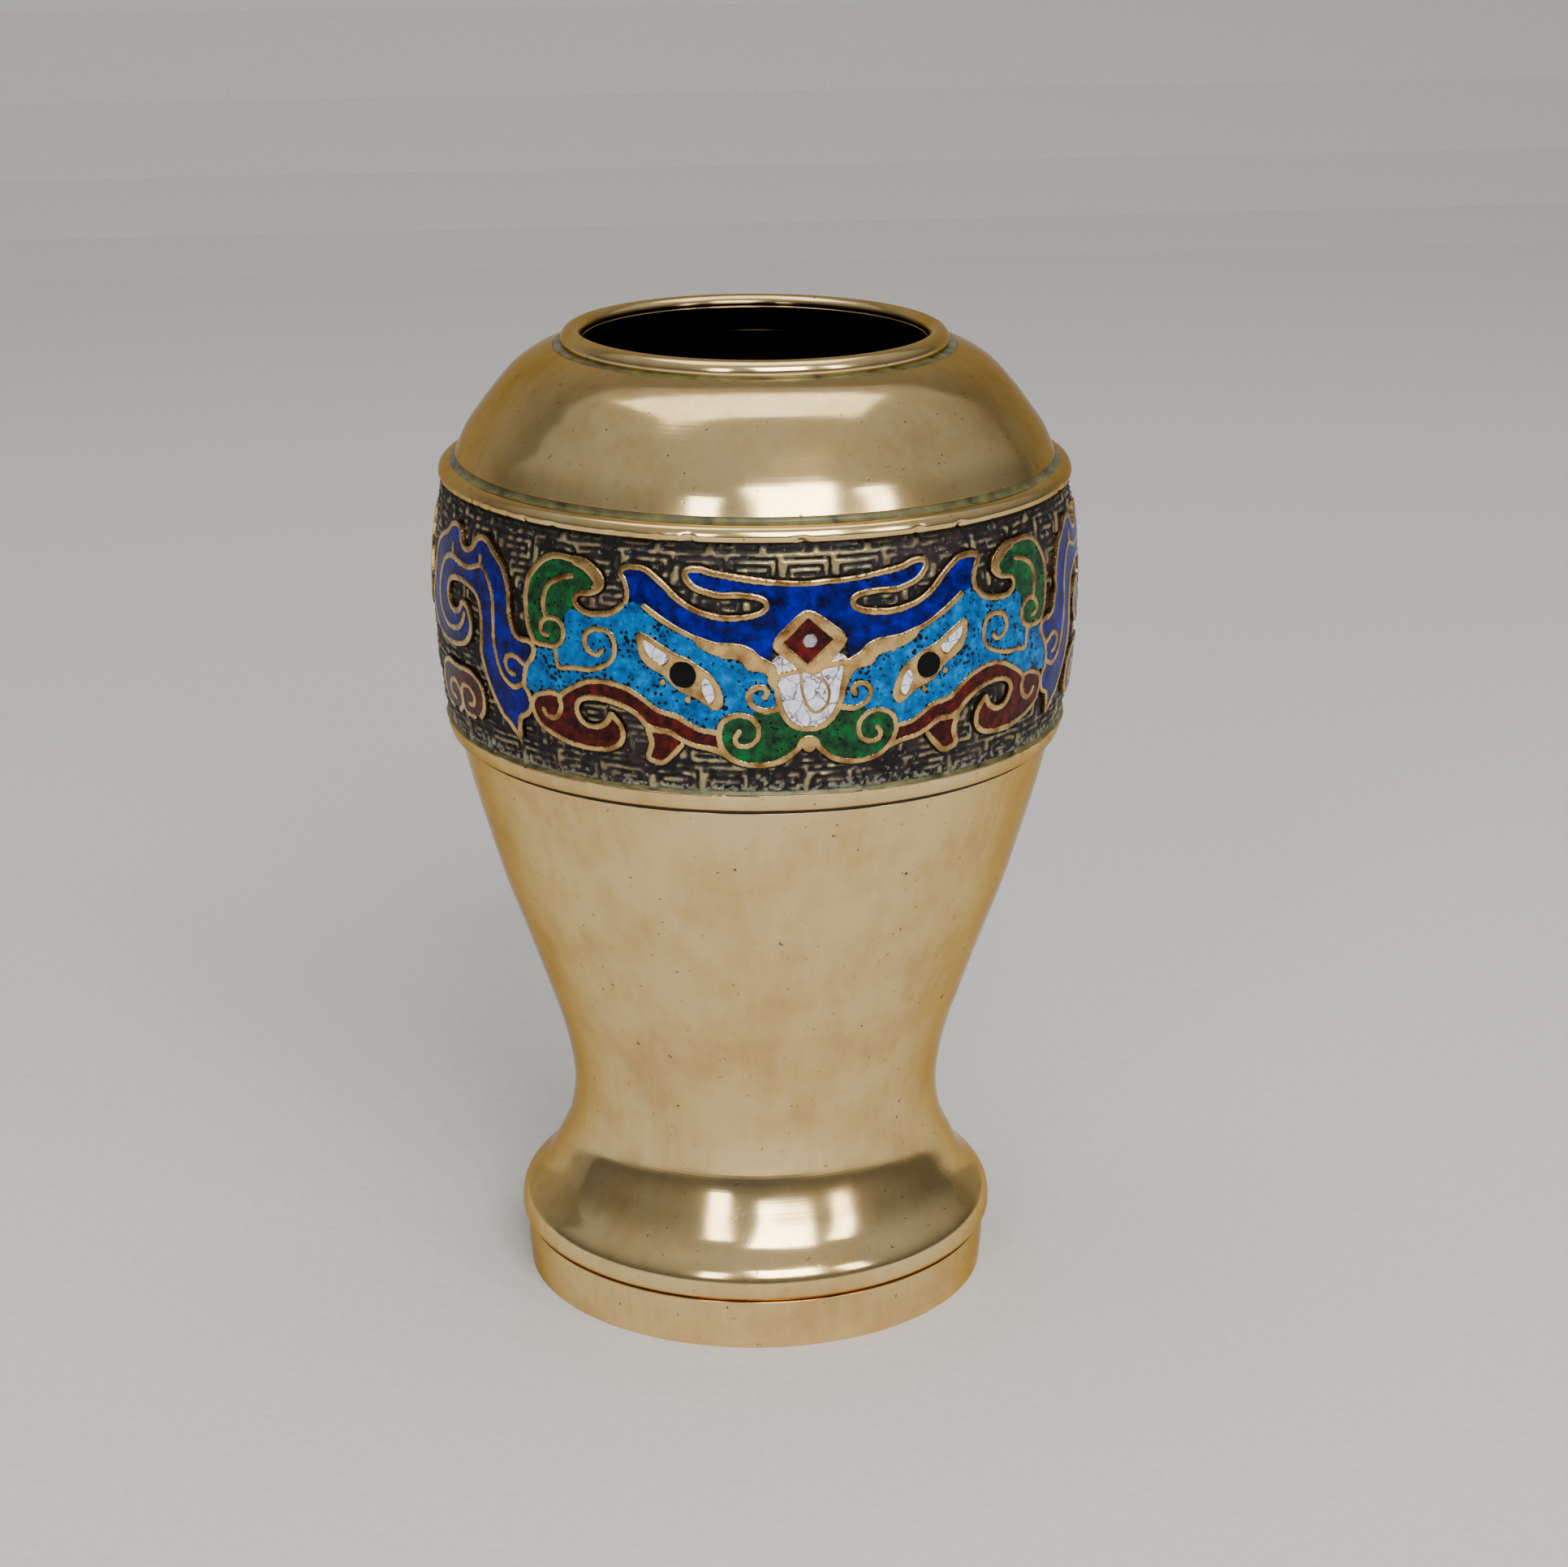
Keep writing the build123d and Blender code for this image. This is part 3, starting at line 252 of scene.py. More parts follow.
DRAGON_LINE = [
    (-42.8, 90.4), (-43.5, 90.9), (-44.7, 92.1), (-45.9, 92.9), (-47.4, 94.9), (-48.7, 97.2),
    (-49.4, 99.2), (-49.8, 101.0), (-49.6, 103.2), (-49.7, 105.5), (-50.2, 107.3),
    (-51.2, 108.6), (-53.2, 109.3), (-55.8, 109.5), (-58.3, 109.2), (-59.8, 108.3),
    (-60.3, 106.8), (-59.8, 105.5), (-58.3, 104.7), (-56.8, 104.8), (-55.8, 105.4),
    (-55.3, 106.2), (-54.4, 106.4), (-53.5, 105.8), (-52.7, 104.5), (-52.6, 103.0),
    (-53.4, 101.7), (-54.9, 100.7), (-57.5, 100.0), (-60.3, 99.8), (-63.1, 100.2),
    (-65.6, 101.2), (-67.4, 102.8), (-68.2, 104.7), (-67.7, 106.8), (-66.9, 108.8),
    (-66.5, 110.9), (-65.6, 112.6), (-63.9, 113.8), (-61.6, 114.8), (-60.3, 115.9),
    (-59.0, 116.4), (-57.5, 116.4), (-56.8, 115.8), (-56.4, 114.7), (-55.5, 113.9),
    (-54.0, 113.9), (-52.5, 114.7), (-51.7, 115.8), (-50.4, 116.3), (-48.9, 116.0),
    (-47.4, 114.9), (-45.6, 113.6), (-44.5, 111.9), (-43.8, 110.1), (-43.6, 107.8),
    (-43.2, 106.3), (-42.5, 104.9), (-41.3, 104.3), (-39.7, 104.3), (-38.8, 103.5),
    (-39.2, 102.2), (-40.2, 101.0), (-40.7, 99.2), (-40.8, 97.9), (-40.1, 96.9),
    (-39.8, 95.3), (-40.6, 94.1), (-42.0, 93.3), (-42.5, 91.9), (-42.6, 90.5),
]
DRAGON_STROKE = [
    (-54.5, 104.9), (-55.0, 103.8), (-56.3, 102.6), (-58.3, 102.1), (-60.6, 102.2),
    (-62.6, 103.3), (-63.9, 104.8), (-64.0, 106.8), (-63.4, 108.8), (-62.1, 110.6),
    (-60.6, 111.6), (-58.8, 112.0), (-56.8, 111.7), (-54.0, 111.6), (-51.7, 112.2),
    (-50.4, 112.6), (-49.4, 112.2), (-48.3, 111.0), (-47.4, 109.3), (-46.9, 106.8),
    (-46.8, 104.3), (-46.6, 102.0), (-45.9, 99.7), (-44.9, 98.2), (-43.0, 97.4),
    (-41.3, 98.1),
]
DRAGON_SPIKES = [[(-58.8, 112.0), (-59.05, 113.6)], [(-50.4, 112.6), (-50.4, 113.8)]]
DRAGON_CURL = [
    (-40.8, 101.0), (-42.2, 101.7), (-43.6, 101.6), (-44.4, 100.5), (-43.7, 99.4),
    (-42.7, 99.2),
]
CLOUD_LINE = [
    (-61.3, 90.1), (-62.9, 90.3), (-64.1, 91.6), (-64.6, 93.1), (-64.1, 94.6), (-63.1, 96.1),
    (-61.3, 96.8), (-58.8, 96.7), (-56.3, 96.8), (-54.2, 97.0), (-52.2, 96.5),
    (-50.9, 95.4), (-50.4, 93.9), (-50.7, 92.2), (-51.7, 91.1),
]
CLOUD_EDGE = CLOUD_LINE + [(-53.7, 90.7), (-56.2, 90.9), (-58.8, 90.5)]
CLOUD_SPIRALS = [
    [
        (-58.8, 90.2), (-57.5, 91.1), (-57.3, 92.6), (-57.8, 93.6), (-59.3, 94.3),
        (-60.8, 94.0), (-61.6, 93.0), (-61.1, 91.9), (-59.8, 91.7),
    ],
    [
        (-53.7, 90.6), (-55.3, 90.5), (-56.5, 90.8), (-57.0, 91.8), (-56.8, 93.9),
        (-55.5, 94.6), (-54.0, 94.4), (-53.1, 93.4), (-53.5, 92.4), (-54.7, 92.1),
    ],
]
JEWEL_EDGE = [(-3.5, 107.0), (-0.35, 110.2), (3.1, 107.3), (-0.3, 104.1)]
JEWEL_RIM = [
    (-5.0, 106.9), (-3.0, 109.4), (-0.3, 111.3), (3.0, 109.4), (4.9, 107.3), (3.4, 105.0),
    (0.4, 102.7), (-3.4, 105.0),
]
JEWEL_DOT = (0, 107.2)
CHIN_DOT = (0, 93.0)
PUPIL = (-16.6, 102.5)

# Where the lens stands, in metres: the front mask is turned nine degrees from it.
VIEW_TURN = math.radians(-9.0)
CAMERA_BACK = 0.4628
CAMERA_UP = 0.2243
CAMERA_PITCH = math.radians(18.078)
CAMERA_YAW = math.radians(0.481)
CAMERA_ROLL = math.radians(-0.099)
LENS = 77.27
LAMP_AIM = (0, 0, 0.08)


# ---- 2. Finishes ----------------------------------------------------------------------------
def linear(hex_colour):
    """An sRGB hex colour as linear RGBA."""
    channels = [int(hex_colour[i:i + 2], 16) / 255 for i in (1, 3, 5)]
    line = [c / 12.92 if c <= 0.04045 else ((c + 0.055) / 1.055) ** 2.4 for c in channels]
    return (*line, 1.0)


def add(tree, kind, inputs=None, stops=(), **settings):
    """Adds one node with its settings, sets or links its inputs, and fills its colour stops."""
    node = tree.nodes.new("ShaderNode" + kind)
    for name, value in settings.items():
        setattr(node, name, value)
    for name, value in (inputs or {}).items():
        if isinstance(value, tuple) and isinstance(value[0], bpy.types.Node):
            tree.links.new(value[0].outputs[value[1]], node.inputs[name])
        else:
            node.inputs[name].default_value = value
    for i, (place, colour) in enumerate(stops):
        stop = node.color_ramp.elements[i] if i < 2 else node.color_ramp.elements.new(place)
        stop.position = place
        stop.color = linear(colour) if isinstance(colour, str) else (colour, colour, colour, 1.0)
    return node


def new_material(name):
    """An empty material, its tree, and where on the object each point of it lies."""
    material = bpy.data.materials.new(name)
    material.use_nodes = True
    tree = material.node_tree
    tree.nodes.clear()
    return material, tree, (add(tree, "TexCoord"), "Object")


def finish_surface(tree, inputs):
    """Ends a tree with its shader and output."""
    surface = add(tree, "BsdfPrincipled", inputs)
    add(tree, "OutputMaterial", {"Surface": (surface, "BSDF")})


def turned_brass(name):
    """Lathe-turned and polished brass: fine rings round the axis that stretch the highlights,
    upright rub marks, faint tarnish in soft patches and pin-prick stains."""
    material, tree, place = new_material(name)
    height = add(tree, "SeparateXYZ", {"Vector": place})
    # Tool marks every 0.35 mm up the vase.
    rings = add(tree, "TexNoise", {"W": (height, "Z"), "Scale": 1 / (0.35 * MM), "Detail": 3.0},
                noise_dimensions="1D")
    patches = add(tree, "TexNoise", {"Vector": place, "Scale": 1 / (11 * MM), "Detail": 5.0,
                                     "Roughness": 0.6})
    specks = add(tree, "TexNoise", {"Vector": place, "Scale": 1 / (0.9 * MM), "Detail": 2.0})
    # Upright rub marks left by the polishing cloth, 1.5 mm apart and many times as tall.
    drawn_out = add(tree, "Mapping", {"Vector": place, "Scale": (1.0, 1.0, 0.06)})
    rubs = add(tree, "TexNoise", {"Vector": (drawn_out, "Vector"), "Scale": 1 / (1.5 * MM),
                                  "Detail": 4.0})
    mixed = add(tree, "Math", {0: (rubs, "Fac"), 1: 0.3, 2: (patches, "Fac")},
                operation="MULTIPLY_ADD")
    patch_amount = add(tree, "ValToRGB", {"Fac": (mixed, "Value")},
                       stops=[(0.57, 0.0), (0.85, 1.0)])
    speck_amount = add(tree, "ValToRGB", {"Fac": (specks, "Fac")},
                       stops=[(0.7, 0.0), (0.78, 1.0)])
    base = add(tree, "Mix", {0: (patch_amount, "Color"), 6: linear("#E4C88E"),
                              7: linear("#D3B074")}, data_type="RGBA")
    stained = add(tree, "Mix", {0: (speck_amount, "Color"), 6: (base, 2),
                                7: linear("#5E4426")}, data_type="RGBA")
    # Painted shade, near black, wherever a surface faces the axis, inside the neck and shoulder.
    facing = add(tree, "NewGeometry")
    outward = add(tree, "CombineXYZ", {"X": (height, "X"), "Y": (height, "Y")})
    turned_in = add(tree, "VectorMath", {0: (facing, "Normal"), 1: (outward, "Vector")},
                    operation="DOT_PRODUCT")
    inside_shade_amount = add(tree, "MapRange", {"Value": (turned_in, "Value"), "From Min": -23 * MM,
                                           "From Max": -19 * MM, "To Min": 1.0, "To Max": 0.0})
    surface = add(tree, "Mix", {0: (inside_shade_amount, "Result"), 6: (stained, 2),
                                7: linear("#1A120A")}, data_type="RGBA")
    gloss = add(tree, "MapRange", {"Value": (patches, "Fac"), "From Min": 0.3, "From Max": 0.75,
                                   "To Min": 0.09, "To Max": 0.21})
    ring_bump = add(tree, "Bump", {"Height": (rings, "Fac"), "Strength": 0.22,
                                   "Distance": 0.02 * MM})
    pit_bump = add(tree, "Bump", {"Height": (speck_amount, "Color"), "Strength": 0.25,
                                  "Distance": 0.03 * MM, "Normal": (ring_bump, "Normal")},
                   invert=True)
    finish_surface(tree, {"Base Color": (surface, 2), "Metallic": 1.0,
                          "Specular Tint": linear("#D6BE96"), "Roughness": (gloss, "Result"),
                          "Normal": (pit_bump, "Normal")})
    return material


def ground_brass(name):
    """Cell walls ground flush with the enamel and rubbed bright: small scratches both ways,
    brown tarnish where the polishing missed."""
    material, tree, place = new_material(name)
    scratches = add(tree, "TexNoise", {"Vector": place, "Scale": 1 / (0.25 * MM), "Detail": 4.0,
                                       "Distortion": 1.5})
    patches = add(tree, "TexNoise", {"Vector": place, "Scale": 1 / (2.6 * MM), "Detail": 4.0})
    amount = add(tree, "ValToRGB", {"Fac": (patches, "Fac")}, stops=[(0.42, 0.0), (0.7, 1.0)])
    base = add(tree, "Mix", {0: (amount, "Color"), 6: linear("#D3AE70"), 7: linear("#80592F")},
               data_type="RGBA")
    rim = add(tree, "Attribute", attribute_name="rim", attribute_type="GEOMETRY")
    soot = add(tree, "MapRange", {"Value": (rim, "Fac"), "From Min": 0.45, "From Max": 1.0,
                                  "To Min": 0.0, "To Max": 0.8})
    edged = add(tree, "Mix", {0: (soot, "Result"), 6: (base, 2), 7: linear("#4A3626")},
                data_type="RGBA")
    gloss = add(tree, "MapRange", {"Value": (scratches, "Fac"), "From Min": 0.3,
                                   "From Max": 0.7, "To Min": 0.16, "To Max": 0.36})
    bump = add(tree, "Bump", {"Height": (scratches, "Fac"), "Strength": 0.35,
                              "Distance": 0.03 * MM})
    finish_surface(tree, {"Base Color": (edged, 2), "Metallic": 1.0,
                          "Roughness": (gloss, "Result"), "Normal": (bump, "Normal")})
    return material


def patinated_fret(name):
    """Cast key fret under a dark brown patina: near black in the channels, greenish buff on
    the ridges, bare brass where hands have rubbed them, and green crust along the foot."""
    material, tree, place = new_material(name)
    relief = add(tree, "Attribute", attribute_name="ridge", attribute_type="GEOMETRY")
    height = add(tree, "SeparateXYZ", {"Vector": place})
    wear = add(tree, "TexNoise", {"Vector": place, "Scale": 1 / (2.2 * MM), "Detail": 6.0,
                                  "Roughness": 0.75})
    grain = add(tree, "TexNoise", {"Vector": place, "Scale": 1 / (0.4 * MM), "Detail": 3.0})
    worn = add(tree, "Math", {0: (relief, "Fac"), 1: (wear, "Fac")}, operation="MULTIPLY")
    colour = add(tree, "ValToRGB", {"Fac": (worn, "Value")},
                 stops=[(0.06, "#0B0908"), (0.2, "#2B241D"), (0.36, "#7D7356"),
                        (0.54, "#B09A6C")])
    plum = add(tree, "TexNoise", {"Vector": place, "Scale": 1 / (5.0 * MM), "Detail": 5.0})
    plum_amount = add(tree, "ValToRGB", {"Fac": (plum, "Fac")}, stops=[(0.5, 0.0), (0.66, 0.6)])
    stained = add(tree, "Mix", {0: (plum_amount, "Color"), 6: (colour, "Color"),
                                7: linear("#33242A")}, data_type="RGBA")
    crust = add(tree, "TexNoise", {"Vector": place, "Scale": 1 / (0.8 * MM), "Detail": 5.0})
    low = add(tree, "MapRange", {"Value": (height, "Z"), "From Min": 86.6 * MM,
                                 "From Max": 88.4 * MM, "To Min": 0.17, "To Max": 0.0})
    crusted = add(tree, "Math", {0: (crust, "Fac"), 1: (low, "Result")}, operation="ADD")
    crust_amount = add(tree, "ValToRGB", {"Fac": (crusted, "Value")},
                       stops=[(0.62, 0.0), (0.72, 0.8)])
    tinted = add(tree, "Mix", {0: (crust_amount, "Color"), 6: (stained, 2),
                               7: linear("#74756A")}, data_type="RGBA")
    # Painted shadow where the ground runs in under the upper bead.
    under = add(tree, "MapRange", {"Value": (height, "Z"), "From Min": 118.7 * MM,
                                   "From Max": 119.5 * MM})
    bead_shadowed = add(tree, "Mix", {0: (under, "Result"), 6: (tinted, 2), 7: linear("#060504")},
                data_type="RGBA")
    metal = add(tree, "MapRange", {"Value": (worn, "Value"), "From Min": 0.25, "From Max": 0.55,
                                   "To Min": 0.1, "To Max": 0.9})
    gloss = add(tree, "MapRange", {"Value": (worn, "Value"), "From Min": 0.1, "From Max": 0.55,
                                   "To Min": 0.6, "To Max": 0.3})
    bump = add(tree, "Bump", {"Height": (grain, "Fac"), "Strength": 0.7, "Distance": 0.08 * MM})
    finish_surface(tree, {"Base Color": (bead_shadowed, 2), "Metallic": (metal, "Result"),
                          "Specular IOR Level": 0.25, "Roughness": (gloss, "Result"),
                          "Normal": (bump, "Normal")})
    return material


def seam_crust(name, pale, middle, dark):
    """What gathers in a seam: solder, corrosion and old polish, in tones that drift along it."""
    material, tree, place = new_material(name)
    crust = add(tree, "TexNoise", {"Vector": place, "Scale": 1 / (2.6 * MM), "Detail": 6.0,
                                   "Roughness": 0.55})
    colour = add(tree, "ValToRGB", {"Fac": (crust, "Fac")},
                 stops=[(0.3, dark), (0.42, middle), (0.7, pale)])
    bump = add(tree, "Bump", {"Height": (crust, "Fac"), "Strength": 0.6, "Distance": 0.08 * MM})
    finish_surface(tree, {"Base Color": (colour, "Color"), "Metallic": 0.3, "Roughness": 0.42,
                          "Normal": (bump, "Normal")})
    return material


def fired_enamel(name, tones, grain_mm, pit, pit_mm=1.1, pit_size=0.13, roughness=0.24,
                 gleam=0.12):
    """Opaque enamel fired in its cell and stoned flat: mottled glass with burst bubbles that
    have filled with polish."""
    material, tree, place = new_material(name)
    mottle = add(tree, "TexNoise", {"Vector": place, "Scale": 1 / (grain_mm * MM), "Detail": 6.0,
                                    "Roughness": 0.65})
    colour = add(tree, "ValToRGB", {"Fac": (mottle, "Fac")},
                 stops=list(zip((0.34, 0.5, 0.66), tones)))
    bubbles = add(tree, "TexVoronoi", {"Vector": place, "Scale": 1 / (pit_mm * MM),
                                       "Randomness": 1.0})
    shade = add(tree, "TexNoise", {"Vector": place, "Scale": 1 / (3.0 * MM), "Detail": 2.0})
    reach = add(tree, "MapRange", {"Value": (shade, "Fac"), "From Min": 0.28, "From Max": 0.75,
                                   "To Min": 0.0, "To Max": pit_size * 2})
    # Bubbles crowd against the cell walls, where dirt also lodges.
    rim = add(tree, "Attribute", attribute_name="rim", attribute_type="GEOMETRY")
    crowd = add(tree, "Math", {0: (rim, "Fac"), 1: 0.32, 2: (reach, "Result")},
                operation="MULTIPLY_ADD")
    pits = add(tree, "Math", {0: (bubbles, "Distance"), 1: (crowd, "Value")},
               operation="LESS_THAN")
    pitted = add(tree, "Mix", {0: (pits, "Value"), 6: (colour, "Color"), 7: linear(pit)},
                 data_type="RGBA")
    gloss = add(tree, "MapRange", {"Value": (mottle, "Fac"), "From Min": 0.3, "From Max": 0.7,
                                   "To Min": roughness, "To Max": roughness + 0.14})
    skin = add(tree, "Bump", {"Height": (mottle, "Fac"), "Strength": 0.3,
                              "Distance": 0.05 * MM})
    holes = add(tree, "Bump", {"Height": (pits, "Value"), "Strength": 0.6,
                               "Distance": 0.06 * MM, "Normal": (skin, "Normal")}, invert=True)
    finish_surface(tree, {"Base Color": (pitted, 2), "Roughness": (gloss, "Result"),
                          "Specular IOR Level": gleam, "Normal": (holes, "Normal")})
    return material


def crackled_enamel(name):
    """Thick white enamel, crazed as it cooled, with dirt drawn into the cracks."""
    material, tree, place = new_material(name)
    # The cracks wander by up to 2 mm.
    bend = add(tree, "TexNoise", {"Vector": place, "Scale": 1 / (1.5 * MM), "Detail": 3.0})
    moved = add(tree, "MixRGB", {"Fac": 2 * MM, "Color1": place, "Color2": (bend, "Color")})
    cracks = add(tree, "TexVoronoi", {"Vector": (moved, "Color"), "Scale": 1 / (2.4 * MM)},
                 feature="DISTANCE_TO_EDGE")
    cloud = add(tree, "TexNoise", {"Vector": place, "Scale": 1 / (1.2 * MM), "Detail": 5.0})
    colour = add(tree, "ValToRGB", {"Fac": (cloud, "Fac")},
                 stops=[(0.3, "#A9A9B2"), (0.52, "#D4D6DE"), (0.7, "#E6E7EC")])
    line = add(tree, "ValToRGB", {"Fac": (cracks, "Distance")}, stops=[(0.0, 1.0), (0.05, 0.0)])
    crazed = add(tree, "Mix", {0: (line, "Color"), 6: (colour, "Color"), 7: linear("#3E3A3A")},
                 data_type="RGBA")
    bump = add(tree, "Bump", {"Height": (line, "Color"), "Strength": 0.5,
                              "Distance": 0.05 * MM}, invert=True)
    finish_surface(tree, {"Base Color": (crazed, 2), "Roughness": 0.2, "Specular IOR Level": 0.3,
                          "Normal": (bump, "Normal")})
    return material


FINISHES = {
    "brass": turned_brass("turned_brass"),
    "cell_brass": ground_brass("ground_cell_brass"),
    "patina": patinated_fret("patinated_fret"),
    "verdigris": seam_crust("verdigris_solder", "#6C683C", "#4A482A", "#14110B"),
    "cobalt_enamel": fired_enamel("cobalt_enamel", ("#010120", "#020355", "#03048C"), 2.0,
                                  "#01010C", pit_mm=1.3, pit_size=0.1),
    "turquoise_enamel": fired_enamel("turquoise_enamel", ("#00365F", "#005794", "#0074B8"), 1.6,
                                     "#060C1C", pit_mm=0.75, pit_size=0.25),
    "oxblood_enamel": fired_enamel("oxblood_enamel", ("#190505", "#380C09", "#5E1310"), 1.4,
                                   "#0C0303", pit_mm=1.1, pit_size=0.12),
    "green_enamel": fired_enamel("green_enamel", ("#0A1F14", "#153A20", "#08602A"), 1.8,
                                 "#040B06", pit_mm=1.0, pit_size=0.16),
    "white_enamel": crackled_enamel("white_crackled_enamel"),
    "black_enamel": fired_enamel("black_enamel", ("#010102", "#030304", "#060608"), 1.5,
                                 "#000000", pit_mm=3.0, pit_size=0.04, roughness=0.04, gleam=0.12),
    "grey_enamel": fired_enamel("grey_enamel", ("#6E6E6E", "#8A8A8A", "#9E9E9E"), 1.0,
                                "#3A3A3A", pit_mm=1.5, pit_size=0.06),
}


# Near-black finish for the ring in the groove at the top of the body: painted shade of the groove,
# and polish packed in it.
GROOVE_SHADE_AND_RESIDUE = seam_crust("groove_shade_and_residue", "#241C14", "#100C09", "#050403")


# ---- 3. Lines and meshes --------------------------------------------------------------------
def offset_points(points, distance):
    """Move each point square to its line, to the left of the way that the line runs."""
    count = len(points)
    moved = []
    for i in range(count):
        before = points[max(i - 1, 0)]
        after = points[min(i + 1, count - 1)]
        dx = after[0] - before[0]
        dy = after[1] - before[1]
        length = math.hypot(dx, dy)
        moved.append((points[i][0] - dy / length * distance,
                      points[i][1] + dx / length * distance))
    return moved


def smooth(points, closed=False, steps=4):
    """A Catmull-Rom curve through all the points of a drawn line."""
    count = len(points)
    line = []
    for i in range(count if closed else count - 1):
        near = [i - 1, i, i + 1, i + 2]
        a, b, c, d = [points[k % count] if closed else points[min(max(k, 0), count - 1)]
                      for k in near]
        for step in range(steps):
            t = step / steps
            line.append(tuple(
                0.5 * (2 * q + (r - p) * t + (2 * p - 5 * q + 4 * r - s) * t * t
                       + (3 * q - p - 3 * r + s) * t**3)
                for p, q, r, s in zip(a, b, c, d)))
    if not closed:
        line.append(tuple(points[-1]))
    return line


def band_radius(z):
    """Radius of the finished band at a height."""
    return GIRTH_R - CROWN_R + np.sqrt(CROWN_R**2 - (z - GIRTH_Z) ** 2)


def place_piece(name, vertices, faces, node, creases=40):
    """A mesh piece with one CAD node's slot and finish, smooth but for its sharp creases."""
    mesh = bpy.data.meshes.new(name)
    mesh.from_pydata(vertices, [], faces)
    mesh.update()
    mesh.polygons.foreach_set("use_smooth", np.ones(len(mesh.polygons), dtype=bool))
    mesh.set_sharp_from_angle(angle=math.radians(creases))
    mesh.materials.append(FINISHES[SLOT_OF[node]])
    piece = bpy.data.objects.new(name, mesh)
    bpy.context.collection.objects.link(piece)
    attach(piece, "root")
    return piece


# ---- 4. Turned pieces -----------------------------------------------------------------------
TURNS = 320        # steps round a plain ring
FINE_TURNS = 900   # steps round a bead, so that its knocks show
EASE = 0.12        # how far a turned corner is rubbed down
KNOCK_SPREAD = 142  # knocks lie this far round the ring each way, in mm at the band


def ripple(angle, height, seed, size):
    """Slow unevenness round a hand-finished ring, in millimetres."""
    random = np.random.default_rng(seed)
    total = np.zeros_like(angle)
    for lobes in (3, 5, 8, 13, 21, 34):
        total += np.sin(lobes * angle + random.uniform(0, 6.28) + height * random.uniform(-1, 1))
    return total * size / 6


def turned_piece(node, section, seed=1, uneven=0.01, ease=EASE, nicks=(),
                 turns=TURNS, stands_for_node=True):
    """Turns a closed upright section round the axis and eases its corners."""
    loop = np.array(section, dtype=float)
    count = len(loop)
    angle = np.linspace(0, 2 * math.pi, turns, endpoint=False)
    radius = np.repeat(loop[None, :, 0], turns, axis=0)
    height = np.repeat(loop[None, :, 1], turns, axis=0)
    around = np.repeat(angle[:, None], count, axis=1)
    radius = radius + ripple(around, height, seed, uneven)
    for place, level, wide, deep in nicks:
        away = (np.angle(np.exp(1j * (around - place / WORK_R))) * WORK_R / wide) ** 2
        away = away + ((height - level) / wide) ** 2
        radius = radius - deep * np.exp(-away)
    x = radius * np.sin(around) * MM
    y = -radius * np.cos(around) * MM
    vertices = np.stack([x, y, height * MM], axis=-1).reshape(-1, 3)
    faces = []
    for i in range(turns):
        k = (i + 1) % turns
        for j in range(count):
            m = (j + 1) % count
            faces.append((i * count + j, k * count + j, k * count + m, i * count + m))
    piece = place_piece(node + "_turned", vertices.tolist(), faces, node)
    if ease:
        bevel = piece.modifiers.new("eased_edges", "BEVEL")
        bevel.width = ease * MM
        bevel.segments = 2
        bevel.limit_method = "ANGLE"
        bevel.angle_limit = math.radians(40)
    if stands_for_node:
        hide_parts(node)
    return piece


def knocks(seed, count, level, reach, wide, deep):
    """Small knocks at random round a ring: place round it, height, width and depth."""
    random = np.random.default_rng(seed)
    return [(random.uniform(-KNOCK_SPREAD, KNOCK_SPREAD), level + random.uniform(0, reach),
             random.uniform(*wide), random.uniform(*deep)) for k in range(count)]


def shell_section(outline, top_run, steps=6):
    """Outer line, top and inner line of a shell, as one closed section."""
    inner = offset_points(outline, WALL)
    inner[0] = (outline[0][0] - WALL, outline[0][1])
    inner[-1] = top_run[-1]
    return smooth(outline, steps=steps) + list(top_run) + smooth(inner, steps=3)[::-1][1:]


def arc(center, radius, start, end, steps):
    """Points on a circle, angles in degrees."""
    angles = [math.radians(start + (end - start) * i / steps) for i in range(steps + 1)]
    return [(center[0] + radius * math.cos(a), center[1] + radius * math.sin(a)) for a in angles]


